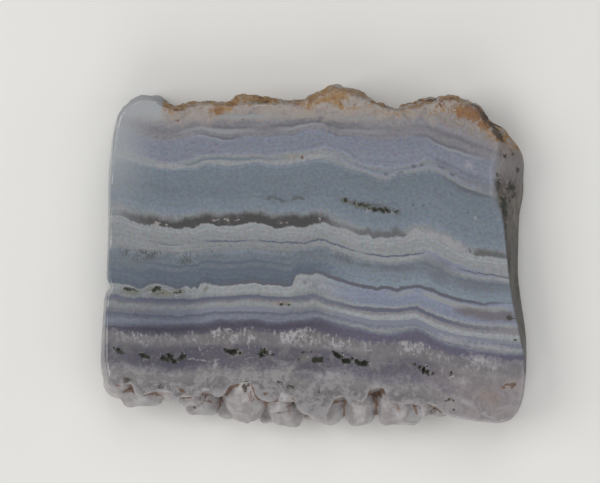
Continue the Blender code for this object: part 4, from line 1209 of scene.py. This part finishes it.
    def _rims(self, at: Spot, colour: Signal) -> Signal:
        """The west margin lightened as painted reflection, the sheen of the west light, and the
        drab ground side in the east.

        Args:
            at: the spot.
            colour: what lies under them.

        Returns:
            The colour with them.
        """
        sheet, x, y = at.sheet, at.x, at.y
        # painted reflection: the west margin is lightened as the sheen of the west light; the top
        # west corner gets the same lightening
        painted_sheen = x.rise(-18.0, -24.6) * y.rise(3.0, 15.5, 0.05, 0.95)
        corner = x.rise(-16.6, -18.6) * y.rise(15.4, 17.2)
        colour = sheet.mix(colour, P.WHITE_LACE.linear(1.12), painted_sheen.highest(corner * 0.9))
        side = x.rise(20.6, 21.4) * at.z.rise(7.97, 7.60)
        streaky = sheet.grain((1.5, 0.7, 1.1), 4.0, 0.75).rise(0.36, 0.64)
        drab = sheet.mix(P.TAUPE.linear(1.12), P.TAUPE.linear(0.74), streaky)
        drab = sheet.mix(drab, P.PINK_GREY.linear(0.95), y.rise(6.5, 11.5) * 0.6)
        drab = sheet.mix(drab, P.TAUPE.linear(0.66), y.rise(5.0, 0.0) * 0.6)
        colour = sheet.mix(colour, drab, side * y.rise(-16.0, -9.0, 0.2, 0.9))
        return sheet.mix(colour, self._marks(at, colour, SIDE_MARKS), side)

    def _crust(self, at: Spot, colour: Signal) -> tuple[Signal, Signal]:
        """The iron-stained skin of the vein.

        Args:
            at: the spot.
            colour: what lies under it.

        Returns:
            The colour with it, and its mask.
        """
        sheet, x = at.sheet, at.x
        nibble = sheet.grain(0.85, 4.0, 0.70, 0.0, 0.5)
        over = at.y - sheet.curve(x, CRUST_LINE) + (nibble - 0.5) * 3.4
        mask = over.rise(-0.35, 0.35)
        patches = sheet.grain(0.5, 4.0, 0.68, 0.0, 0.4)
        fine = sheet.grain(2.0, 4.0, 0.7)
        skin = sheet.mix(P.RUST.linear(), P.GOLD.linear(), patches.rise(0.34, 0.44))
        white = (patches + (fine - 0.5) * 0.4).rise(0.47, 0.55)
        skin = sheet.mix(skin, P.CHALK.linear(0.96), white)
        lean = (sheet.grain(0.3, 2.0, 0.5, 19.0) - 0.5) * (FACE_HEIGHT - at.z) * 2.0
        strewn = sheet.vector("ADD", at.ragged, sheet.point(lean, 0.0, 0.0))
        skin = self._marks(at, skin, EDGE_MARKS, strewn)
        skin = sheet.mix(skin, P.RUST.linear(0.95), fine.rise(0.46, 0.34) * 0.6)
        knobs = fine.rise(0.56, 0.68) * x.rise(18.0, 16.0) * 0.55
        skin = sheet.mix(skin, P.CHALK.linear(1.05), knobs)
        tint = over.rise(-1.6, 0.0) * (1.0 - mask) * fine.rise(0.50, 0.64)
        colour = sheet.mix(colour, P.GOLD.linear(0.95), tint * 0.5)
        chalky = over.rise(-2.0, -0.2) * (1.0 - mask) * nibble.rise(0.42, 0.52)
        colour = sheet.mix(colour, P.CHALK.linear(), chalky * x.rise(17.0, 13.0) * 0.7)
        return sheet.mix(colour, skin, mask), mask

    def _stains(self, at: Spot, colour: Signal, crust: Signal) -> Signal:
        """Iron stains and umber in the hollows, the umber partly stain and partly painted shade,
        and painted highlights on the ridges.

        Args:
            at: the spot.
            colour: what lies under them.
            crust: 1 on the crust.

        Returns:
            The colour with them.
        """
        sheet, hollow, points = at.sheet, at.hollow, at.points
        patchy = sheet.grain(0.6, 3.0, 0.65).rise(0.40, 0.6)
        body = sheet.mix(P.MILK.linear(1.22), P.PINK_GREY.linear(1.04), patchy)
        colour = sheet.mix(colour, body, points * 0.85)
        veins = sheet.grain(0.8, 3.0, 0.7, 41.0, 1.0)
        rust = (hollow.rise(0.0, 0.10) * 0.5 + veins - 0.5).rise(0.27, 0.44) * points
        colour = sheet.mix(colour, P.RUST.linear(0.95), rust * 0.85)
        # umber in the points' hollows: partly brown stain, partly painted shade in the crevices
        umber_and_shade = (hollow.rise(0.03, 0.20) * 0.5 + 0.5 - veins).rise(0.31, 0.50) * points
        colour = sheet.mix(colour, P.UMBER.linear(1.1), umber_and_shade * 0.8)
        colour = self._marks(at, colour, STAIN_MARKS)
        # painted highlight: the convex ridges of the points and of the crust are lightened as if
        # catching the light
        rim = hollow.rise(-0.02, -0.12) * (at.y.rise(-12.5, -14.5) + crust * 0.4)
        colour = sheet.mix(colour, P.FROST_AND_HIGHLIGHT.linear(1.02), rim * 0.35)
        # umber in the crust's hollows: partly stain, partly painted shade
        return sheet.mix(colour, P.UMBER.linear(), hollow.rise(0.10, 0.35) * crust * 0.6)

    def _surface(self, at: Spot, crust: Signal, comb: Signal, pit: Signal) -> None:
        """Gloss and fine relief.

        Args:
            at: the spot.
            crust: 1 on the crust.
            comb: 1 on the frosty comb.
            pit: 1 in the open vugs.
        """
        sheet, on_face, points = at.sheet, at.on_face, at.points
        shader = sheet.shader.inputs
        skin = crust.highest(at.y.rise(15.4, 16.4) * (1.0 - on_face))
        drab = at.x.rise(20.8, 21.8) * (1.0 - on_face)
        scuffs = sheet.grain(1.3, 3.0, 0.7)
        rough = on_face.rise(0.0, 1.0, self.ground, self.polish)
        rough = rough + (scuffs - 0.5) * 0.10 + comb * 0.05
        rough = rough + points * (self.frosted - self.ground)
        rough = rough + skin * (self.weathered - self.polish) * 0.9
        rough = rough + at.hollow.rise(0.03, 0.2) * 0.35 + pit * 0.6 + drab * 0.3
        sheet.plug(shader["Roughness"], rough.highest(0.08).lowest(0.95))
        gloss = (1.0 - skin) * (1.0 - points * 0.4) * (1.0 - pit) * (1.0 - drab)
        sheet.plug(shader["Coat Weight"], gloss * on_face.rise(0.0, 1.0, 0.3, 0.5))
        fine = sheet.grain(3.2, 3.0, 0.65)
        coarse = sheet.grain(1.1, 3.0, 0.6, 11.0)
        relief = (fine - 0.5) * (0.006 + points * 0.03 + skin * 0.22)
        relief = relief + (coarse - 0.5) * (skin * 0.35 + points * 0.06)
        sheet.bump(relief, 0.6, MM)
        for name, value in self.constants:
            shader[name].default_value = value


# ----------------------------------------------------------------------------
# The slice's shape
# ----------------------------------------------------------------------------


class Skin(Enum):
    """What a part of the slice's surface is."""

    FLAT = "flat"
    GROUND = "ground"
    CRUST = "crust"
    POINTS = "points"


@dataclass(frozen=True)
class Vug:
    """An open hollow in the polished face."""

    x: float
    y: float
    length: float
    width: float
    turn: float
    deep: float
    packed: bool = False  # it is also open, as an even oval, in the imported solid

    def cut(self, spot: Vector) -> float:
        """How far the face drops at a spot."""
        angle = math.radians(self.turn)
        dx, dy = spot.x - self.x, spot.y - self.y
        if max(abs(dx), abs(dy)) > self.length + self.width:
            return 0.0
        along = (dx * math.cos(angle) + dy * math.sin(angle)) / (0.5 * self.length)
        across = (dy * math.cos(angle) - dx * math.sin(angle)) / (0.5 * self.width)
        shake = noise.fractal(spot * 2.1 + Vector((0.0, 0.0, self.x)), 0.7, 2.2, 3)
        inside = 0.85 - math.hypot(along, across) + 1.1 * shake
        return self.deep * min(1.0, max(0.0, 2.2 * inside))

    def plug(self) -> Matrix:
        """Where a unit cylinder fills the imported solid's oval, up to the polished face."""
        tall = 1.3  # deeper than any oval
        place = Matrix.Translation((self.x, self.y, FACE_HEIGHT - 0.5 * tall))
        size = Matrix.Diagonal((1.35 * self.length + 0.2, 1.35 * self.width + 0.3, tall, 1.0))
        return place @ Matrix.Rotation(math.radians(self.turn), 4, "Z") @ size


@dataclass(frozen=True)
class Nudge:
    """A soft local shift of the stone; the drop rolls the polished face's rim over."""

    x: float
    y: float
    reach: float
    shift: tuple[float, float]
    drop: float = 0.0
    stretch: float = 1.0  # how much farther it reaches along Y

    def at(self, spot: Vector) -> Vector:
        """How far a spot is moved."""
        away = math.hypot(spot.x - self.x, (spot.y - self.y) / self.stretch) / self.reach
        roll = -self.drop * max(0.0, spot.z / FACE_HEIGHT) ** 4
        return Vector((*self.shift, roll)) * max(0.0, 1.0 - away * away) ** 2


@dataclass
class AgateSlice:
    """The whole stone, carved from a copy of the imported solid."""

    node: str = "agate_slab"
    voxel: float = 0.16
    easing: int = 2  # smoothing passes everywhere
    edge_easing: int = 5  # further ones that round the ground edges
    face_grain: float = 0.08  # how far the points' small faces are off
    seed: int = 7  # fixes the slopes of those faces, so that each run gives the same stone
    groove: float = 0.03  # depth of the grooves between the points
    crust_grain: float = 0.34
    ground_grain: float = 0.03
    points_top: float = -14.2
    points_end: float = 16.5
    sharp_end: float = 16.0  # the points west of it keep their edges
    crust_foot: float = 16.2
    crust_span: tuple[float, float] = (-19.5, 21.0)
    flat_rim: float = 0.1  # a level spot this close to a sawn face belongs to it
    press: float = 0.02  # a spot this close to it is pressed onto it
    most_triangles: int = 188000
    hollow_passes: int = 14
    vugs: tuple[Vug, ...] = (
        Vug(-23.3, -11.1, 1.0, 0.5, -35, 0.4, True), Vug(-20.0, -11.9, 1.3, 0.6, -30, 0.45, True),
        Vug(-16.9, -12.1, 1.6, 0.6, -35, 0.5, True), Vug(-15.4, -11.7, 1.1, 0.5, 50, 0.45, True),
        Vug(-9.6, -11.3, 1.7, 0.7, -5, 0.6, True), Vug(-5.9, -11.4, 1.3, 0.8, 40, 0.6, True),
        Vug(0.6, -12.2, 1.6, 0.7, -4, 0.35, True), Vug(3.0, -11.7, 1.5, 0.7, -35, 0.5, True),
        Vug(4.0, -12.3, 1.2, 0.6, 20, 0.5, True), Vug(5.8, -12.7, 1.7, 0.6, -12, 0.5, True),
        Vug(13.0, -13.2, 2.1, 0.9, -38, 0.6, True), Vug(23.6, -15.3, 1.7, 0.6, 20, 0.2, True),
        Vug(5.6, 6.3, 2.2, 0.5, -12, 0.28, True), Vug(8.3, 5.6, 2.4, 0.6, -8, 0.34, True),
        Vug(3.7, 6.7, 1.0, 0.5, -10, 0.25), Vug(7.2, 5.8, 1.6, 0.4, -5, 0.25),
        Vug(-17.9, -12.0, 1.3, 0.6, -40, 0.4), Vug(-22.2, -3.8, 1.5, 0.4, -12, 0.3),
        Vug(-18.7, -3.8, 1.2, 0.6, 20, 0.3), Vug(-16.0, -4.2, 1.0, 0.4, 5, 0.3),
        Vug(16.2, -14.1, 0.6, 0.6, 20, 0.3), Vug(14.3, -13.8, 0.5, 0.4, 0, 0.25),
        Vug(16.4, -17.0, 1.1, 0.4, -20, 0.25), Vug(23.3, -7.2, 0.7, 0.5, 0, 0.3),
        Vug(-3.9, -5.6, 0.5, 0.35, 0, 0.2), Vug(-2.9, -5.65, 0.5, 0.35, 0, 0.2),
    )
    nudges: tuple[Nudge, ...] = (
        Nudge(21.4, 16.8, 2.3, (-0.60, -0.50)), Nudge(24.2, 11.9, 3.2, (0.65, 0.10)),
        Nudge(24.7, 8.2, 3.5, (0.25, 0.0)), Nudge(-23.7, -15.9, 2.0, (-0.55, -0.50)),
        Nudge(-17.2, -16.6, 1.6, (0.0, -0.60)), Nudge(23.1, 9.4, 2.4, (0.0, 0.0), 0.6, 2.6),
    )

    def build(self, frame: dict[str, Any], finish: StoneFinish) -> bpy.types.Object:
        """Carves the slice and dresses it.

        Args:
            finish: the stone's finish.

        Returns:
            The finished piece.
        """
        noise.seed_set(self.seed)
        low, high = (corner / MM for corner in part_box(self.node))
        bm = self._rounded_copy(frame["nodes"][self.node])
        self._carve(bm, low, high)
        piece = self._to_object("agate_slice", bm)
        self._note_hollows(piece.data)
        self._thin_out(piece)
        self._shade(piece.data)
        piece.data.materials.append(finish.make())
        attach(piece, "root")
        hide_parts(self.node)
        return piece

    @staticmethod
    def _to_object(name: str, bm: bmesh.types.BMesh) -> bpy.types.Object:
        """Turns a bmesh into an object of the scene."""
        mesh = bpy.data.meshes.new(name)
        bm.to_mesh(mesh)
        bm.free()
        made = bpy.data.objects.new(name, mesh)
        bpy.context.scene.collection.objects.link(made)
        return made

    @staticmethod
    def _apply(piece: bpy.types.Object) -> bpy.types.Mesh:
        """The piece's mesh with its modifiers worked in; they are then taken off."""
        bpy.context.view_layer.update()
        graph = bpy.context.evaluated_depsgraph_get()
        mesh = bpy.data.meshes.new_from_object(piece.evaluated_get(graph))
        piece.modifiers.clear()
        return mesh

    def _rounded_copy(self, source: bpy.types.Object) -> bmesh.types.BMesh:
        """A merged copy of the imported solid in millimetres, evenly meshed, its edges eased.

        Args:
            source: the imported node.

        Returns:
            The copy, closed and facing outwards.
        """
        bm = bmesh.new()
        bm.from_mesh(source.data)
        bmesh.ops.remove_doubles(bm, verts=bm.verts[:], dist=1.0e-7)
        bmesh.ops.scale(bm, vec=(1.0 / MM,) * 3, verts=bm.verts[:])
        self._fill_packed_vugs(bm)
        rough = self._to_object("rough_stone", bm)
        remesh = rough.modifiers.new("even_mesh", "REMESH")
        remesh.mode = "VOXEL"
        remesh.voxel_size = self.voxel
        mesh = self._apply(rough)
        bpy.data.objects.remove(rough)
        bm = bmesh.new()
        bm.from_mesh(mesh)
        bpy.data.meshes.remove(mesh)
        for vert in bm.verts:
            vert.co += sum((nudge.at(vert.co) for nudge in self.nudges), Vector())
        worn = [
            v for v in bm.verts if not (v.co.y < self.points_top and v.co.x < self.sharp_end)
        ]
        for verts, passes in ((bm.verts[:], self.easing), (worn, self.edge_easing)):
            for _ in range(passes):
                bmesh.ops.smooth_vert(
                    bm, verts=verts, factor=0.5, use_axis_x=True, use_axis_y=True, use_axis_z=True
                )
        bmesh.ops.recalc_face_normals(bm, faces=bm.faces[:])
        return bm

    def _fill_packed_vugs(self, bm: bmesh.types.BMesh) -> None:
        """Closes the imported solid's oval pits, so that ragged ones can be cut in their place.

        Args:
            bm: the stone, in millimetres.
        """
        for vug in self.vugs:
            if vug.packed:
                bmesh.ops.create_cone(
                    bm, cap_ends=True, segments=16, radius1=0.5, radius2=0.5, depth=1.0,
                    matrix=vug.plug(),
                )

    def _skin_of(self, spot: Vector, normal: Vector) -> Skin:
        """What the surface is at a spot."""
        sawn = spot.z > FACE_HEIGHT - self.flat_rim or spot.z < self.flat_rim
        if abs(normal.z) > 0.97 and sawn:
            return Skin.FLAT
        if spot.y < self.points_top and spot.x < self.points_end:
            return Skin.POINTS
        if spot.y > self.crust_foot and self.crust_span[0] < spot.x < self.crust_span[1]:
            return Skin.CRUST
        return Skin.GROUND

    def _point_relief(self, spot: Vector) -> float:
        """The quartz points' small flat faces and the grooves between them."""
        scaled = spot * 0.62
        (near, far, *_), (centre, *_) = noise.voronoi(scaled)
        slope = noise.noise_vector(Vector(centre) * 5.3 + Vector((1.7, 0.0, 4.1)))
        tilt = (scaled - Vector(centre)).dot(slope)
        gap = max(0.0, 1.0 - (far - near) / 0.16)
        return self.face_grain * 1.8 * tilt - self.groove * gap * gap

    def _crust_relief(self, spot: Vector) -> float:
        """The crust's knobs and grain."""
        (near, far, *_), _ = noise.voronoi(spot * 0.75)
        knobs = 0.45 - near
        grain = noise.fractal(spot * 1.5, 0.8, 2.1, 3)
        return self.crust_grain * (0.9 * knobs + 0.45 * grain)

    def _carve(self, bm: bmesh.types.BMesh, low: Vector, high: Vector) -> None:
        """Gives every skin its relief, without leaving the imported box.

        Args:
            bm: the stone, in millimetres.
            low: lowest corner of the box.
            high: highest corner of the box.
        """
        bm.normal_update()
        moves = []
        for vert in bm.verts:
            spot, normal = vert.co, vert.normal
            skin = self._skin_of(spot, normal)
            push = 0.0
            if skin is Skin.POINTS:
                push = self._point_relief(spot)
            elif skin is Skin.CRUST:
                push = self._crust_relief(spot)
            elif skin is Skin.GROUND:
                push = self.ground_grain * noise.noise(spot * 0.9)
            if skin is not Skin.FLAT:
                push *= min(1.0, max(0.15, (1.0 - normal.z) / 0.5))
            elif spot.z > FACE_HEIGHT - self.flat_rim:
                push = -max(vug.cut(spot) for vug in self.vugs)
            moves.append(normal * push)
        for vert, move in zip(bm.verts, moves):
            moved = vert.co + move
            vert.co = Vector([min(h, max(c, v)) for c, v, h in zip(low, moved, high)])
            if vert.co.z > FACE_HEIGHT - self.press:
                vert.co.z = FACE_HEIGHT
            elif vert.co.z < self.press:
                vert.co.z = 0.0

    def _note_hollows(self, mesh: bpy.types.Mesh) -> None:
        """Writes how far each vertex lies below its smoothed surroundings.

        Args:
            mesh: the stone, which gets a "hollow" attribute in millimetres.
        """
        count = len(mesh.vertices)
        spots = np.zeros(count * 3)
        normals = np.zeros(count * 3)
        edges = np.zeros(len(mesh.edges) * 2, dtype=np.int64)
        mesh.vertices.foreach_get("co", spots)
        mesh.vertices.foreach_get("normal", normals)
        mesh.edges.foreach_get("vertices", edges)
        spots = spots.reshape(-1, 3)
        ends = edges.reshape(-1, 2)
        start = np.concatenate([ends[:, 0], ends[:, 1]])
        other = np.concatenate([ends[:, 1], ends[:, 0]])
        degree = np.bincount(start, minlength=count)[:, None]
        smooth = spots.copy()
        for _ in range(self.hollow_passes):
            total = np.stack(
                [np.bincount(start, smooth[other, axis], count) for axis in range(3)], axis=1
            )
            smooth = total / degree
        hollow = ((smooth - spots) * normals.reshape(-1, 3)).sum(axis=1)
        layer = mesh.attributes.new("hollow", "FLOAT", "POINT")
        layer.data.foreach_set("value", hollow.astype(np.float32))

    def _thin_out(self, piece: bpy.types.Object) -> None:
        """Brings the mesh under its count and to metres, and keeps its hollows.

        Args:
            piece: the stone.
        """
        fine = piece.data
        fine.calc_loop_triangles()
        share = self.most_triangles / len(fine.loop_triangles)
        tree = kdtree.KDTree(len(fine.vertices))
        for vert in fine.vertices:
            tree.insert(vert.co, vert.index)
        tree.balance()
        thin = piece.modifiers.new("thin_out", "DECIMATE")
        thin.ratio = min(1.0, share)
        mesh = self._apply(piece)
        known = fine.attributes["hollow"].data
        values = [known[tree.find(vert.co)[1]].value for vert in mesh.vertices]
        if "hollow" in mesh.attributes:
            mesh.attributes.remove(mesh.attributes["hollow"])
        layer = mesh.attributes.new("hollow", "FLOAT", "POINT")
        layer.data.foreach_set("value", values)
        bm = bmesh.new()
        bm.from_mesh(mesh)
        bmesh.ops.scale(bm, vec=(MM,) * 3, verts=bm.verts[:])
        bmesh.ops.recalc_face_normals(bm, faces=bm.faces[:])
        bm.to_mesh(mesh)
        bm.free()
        mesh.name = "agate_slice"
        piece.data = mesh
        bpy.data.meshes.remove(fine)

    @staticmethod
    def _shade(mesh: bpy.types.Mesh) -> None:
        """Smooth shading that stops at the rims of the two flat faces.

        Args:
            mesh: the stone, in metres.
        """
        bm = bmesh.new()
        bm.from_mesh(mesh)
        for face in bm.faces:
            face.smooth = True
        for edge in bm.edges:
            flats = [abs(face.normal.z) > 0.9999 for face in edge.link_faces]
            edge.smooth = len(flats) != 2 or flats[0] == flats[1]
        bm.to_mesh(mesh)
        bm.free()


# ----------------------------------------------------------------------------
# Table, light and camera
# ----------------------------------------------------------------------------


@dataclass(frozen=True)
class TableFinish:
    """Matt pale board with the faintest tooth."""

    roughness: float = 0.75

    def make(self) -> bpy.types.Material:
        """Draws the material.

        Returns:
            The finished material.
        """
        sheet = Sheet("pale_board")
        cloud = sheet.grain(0.009, 3.0)
        colour = sheet.mix(P.TABLE.linear(0.985), P.TABLE.linear(), cloud.rise(0.35, 0.65))
        sheet.plug(sheet.shader.inputs["Base Color"], colour)
        sheet.shader.inputs["Roughness"].default_value = self.roughness
        sheet.bump(sheet.grain(0.9, 2.0), 0.05, 0.1 * MM)
        return sheet.material


@dataclass(frozen=True)
class Lamp:
    """A square soft light that faces the stone."""

    name: str
    place: tuple[float, float, float]
    side: float
    power: float
    tint: tuple[float, float, float] = (1.0, 1.0, 1.0)

    def build(self) -> None:
        """Hangs the lamp."""
        data = bpy.data.lights.new(self.name, "AREA")
        data.shape = "SQUARE"
        data.size = self.side
        data.energy = self.power
        data.color = self.tint
        made = bpy.data.objects.new(self.name, data)
        made.location = self.place
        made.rotation_euler = Vector(self.place).to_track_quat("Z", "Y").to_euler()
        bpy.context.scene.collection.objects.link(made)


@dataclass
class Studio:
    """A pale table under soft daylight, with the camera straight above the stone."""

    table_side: float = 3.0
    table_drop: float = 0.02 * MM
    sky: float = 0.31
    camera_height: float = 458.0
    camera_spot: tuple[float, float] = (-1.607, 1.845)
    view_width: float = 71.43  # of the polished face's plane
    sensor: float = 36.0
    lamps: tuple[Lamp, ...] = (
        Lamp("west_window", (-0.50, 0.06, 0.56), 0.50, 2.25, (1.0, 0.99, 0.97)),
        Lamp("north_window", (0.06, 0.44, 0.66), 0.60, 1.75, (0.98, 0.99, 1.0)),
        Lamp("east_fill", (0.52, -0.14, 0.56), 0.60, 0.75, (1.0, 1.0, 1.0)),
        Lamp("south_fill", (-0.06, -0.60, 0.46), 0.60, 1.9, (1.0, 0.985, 0.96)),
    )

    def build(self, finish: TableFinish) -> None:
        """Sets the table, the light and the camera.

        Args:
            finish: the table's finish.
        """
        self._table(finish)
        self._sky()
        for lamp in self.lamps:
            lamp.build()
            log.info("lamp %s", lamp.name)
        self._camera()

    def _table(self, finish: TableFinish) -> None:
        """The board that the stone lies on."""
        bm = bmesh.new()
        bmesh.ops.create_grid(bm, x_segments=1, y_segments=1, size=0.5 * self.table_side)
        bmesh.ops.translate(bm, vec=(0.0, 0.0, -self.table_drop), verts=bm.verts[:])
        mesh = bpy.data.meshes.new("table")
        bm.to_mesh(mesh)
        bm.free()
        mesh.materials.append(finish.make())
        table = bpy.data.objects.new("table", mesh)
        bpy.context.scene.collection.objects.link(table)

    def _sky(self) -> None:
        """Even light from all round."""
        world = bpy.data.worlds.new("room")
        world.use_nodes = True
        background = world.node_tree.nodes["Background"]
        background.inputs["Color"].default_value = (0.97, 0.98, 1.0, 1.0)
        background.inputs["Strength"].default_value = self.sky
        bpy.context.scene.world = world

    def _camera(self) -> None:
        """The camera, which looks straight down with the crust at the top."""
        scene = bpy.context.scene
        data = bpy.data.cameras.new("camera")
        data.sensor_fit = "HORIZONTAL"
        data.sensor_width = self.sensor
        data.lens = self.sensor * (self.camera_height - FACE_HEIGHT) / self.view_width
        data.clip_start = 0.01
        camera = bpy.data.objects.new("camera", data)
        camera.location = (*(c * MM for c in self.camera_spot), self.camera_height * MM)
        scene.collection.objects.link(camera)
        scene.camera = camera
        scene.view_settings.view_transform = "Standard"


def main() -> None:
    """Builds the stone, its table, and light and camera."""
    logging.basicConfig(level=logging.INFO, format="%(name)s: %(message)s")
    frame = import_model()
    stone = AgateSlice().build(frame, StoneFinish())
    log.info("piece %s has %d faces", stone.name, len(stone.data.polygons))
    Studio().build(TableFinish())
    log.info("table, lamps and camera are set")


if __name__ == "__main__":
    main()
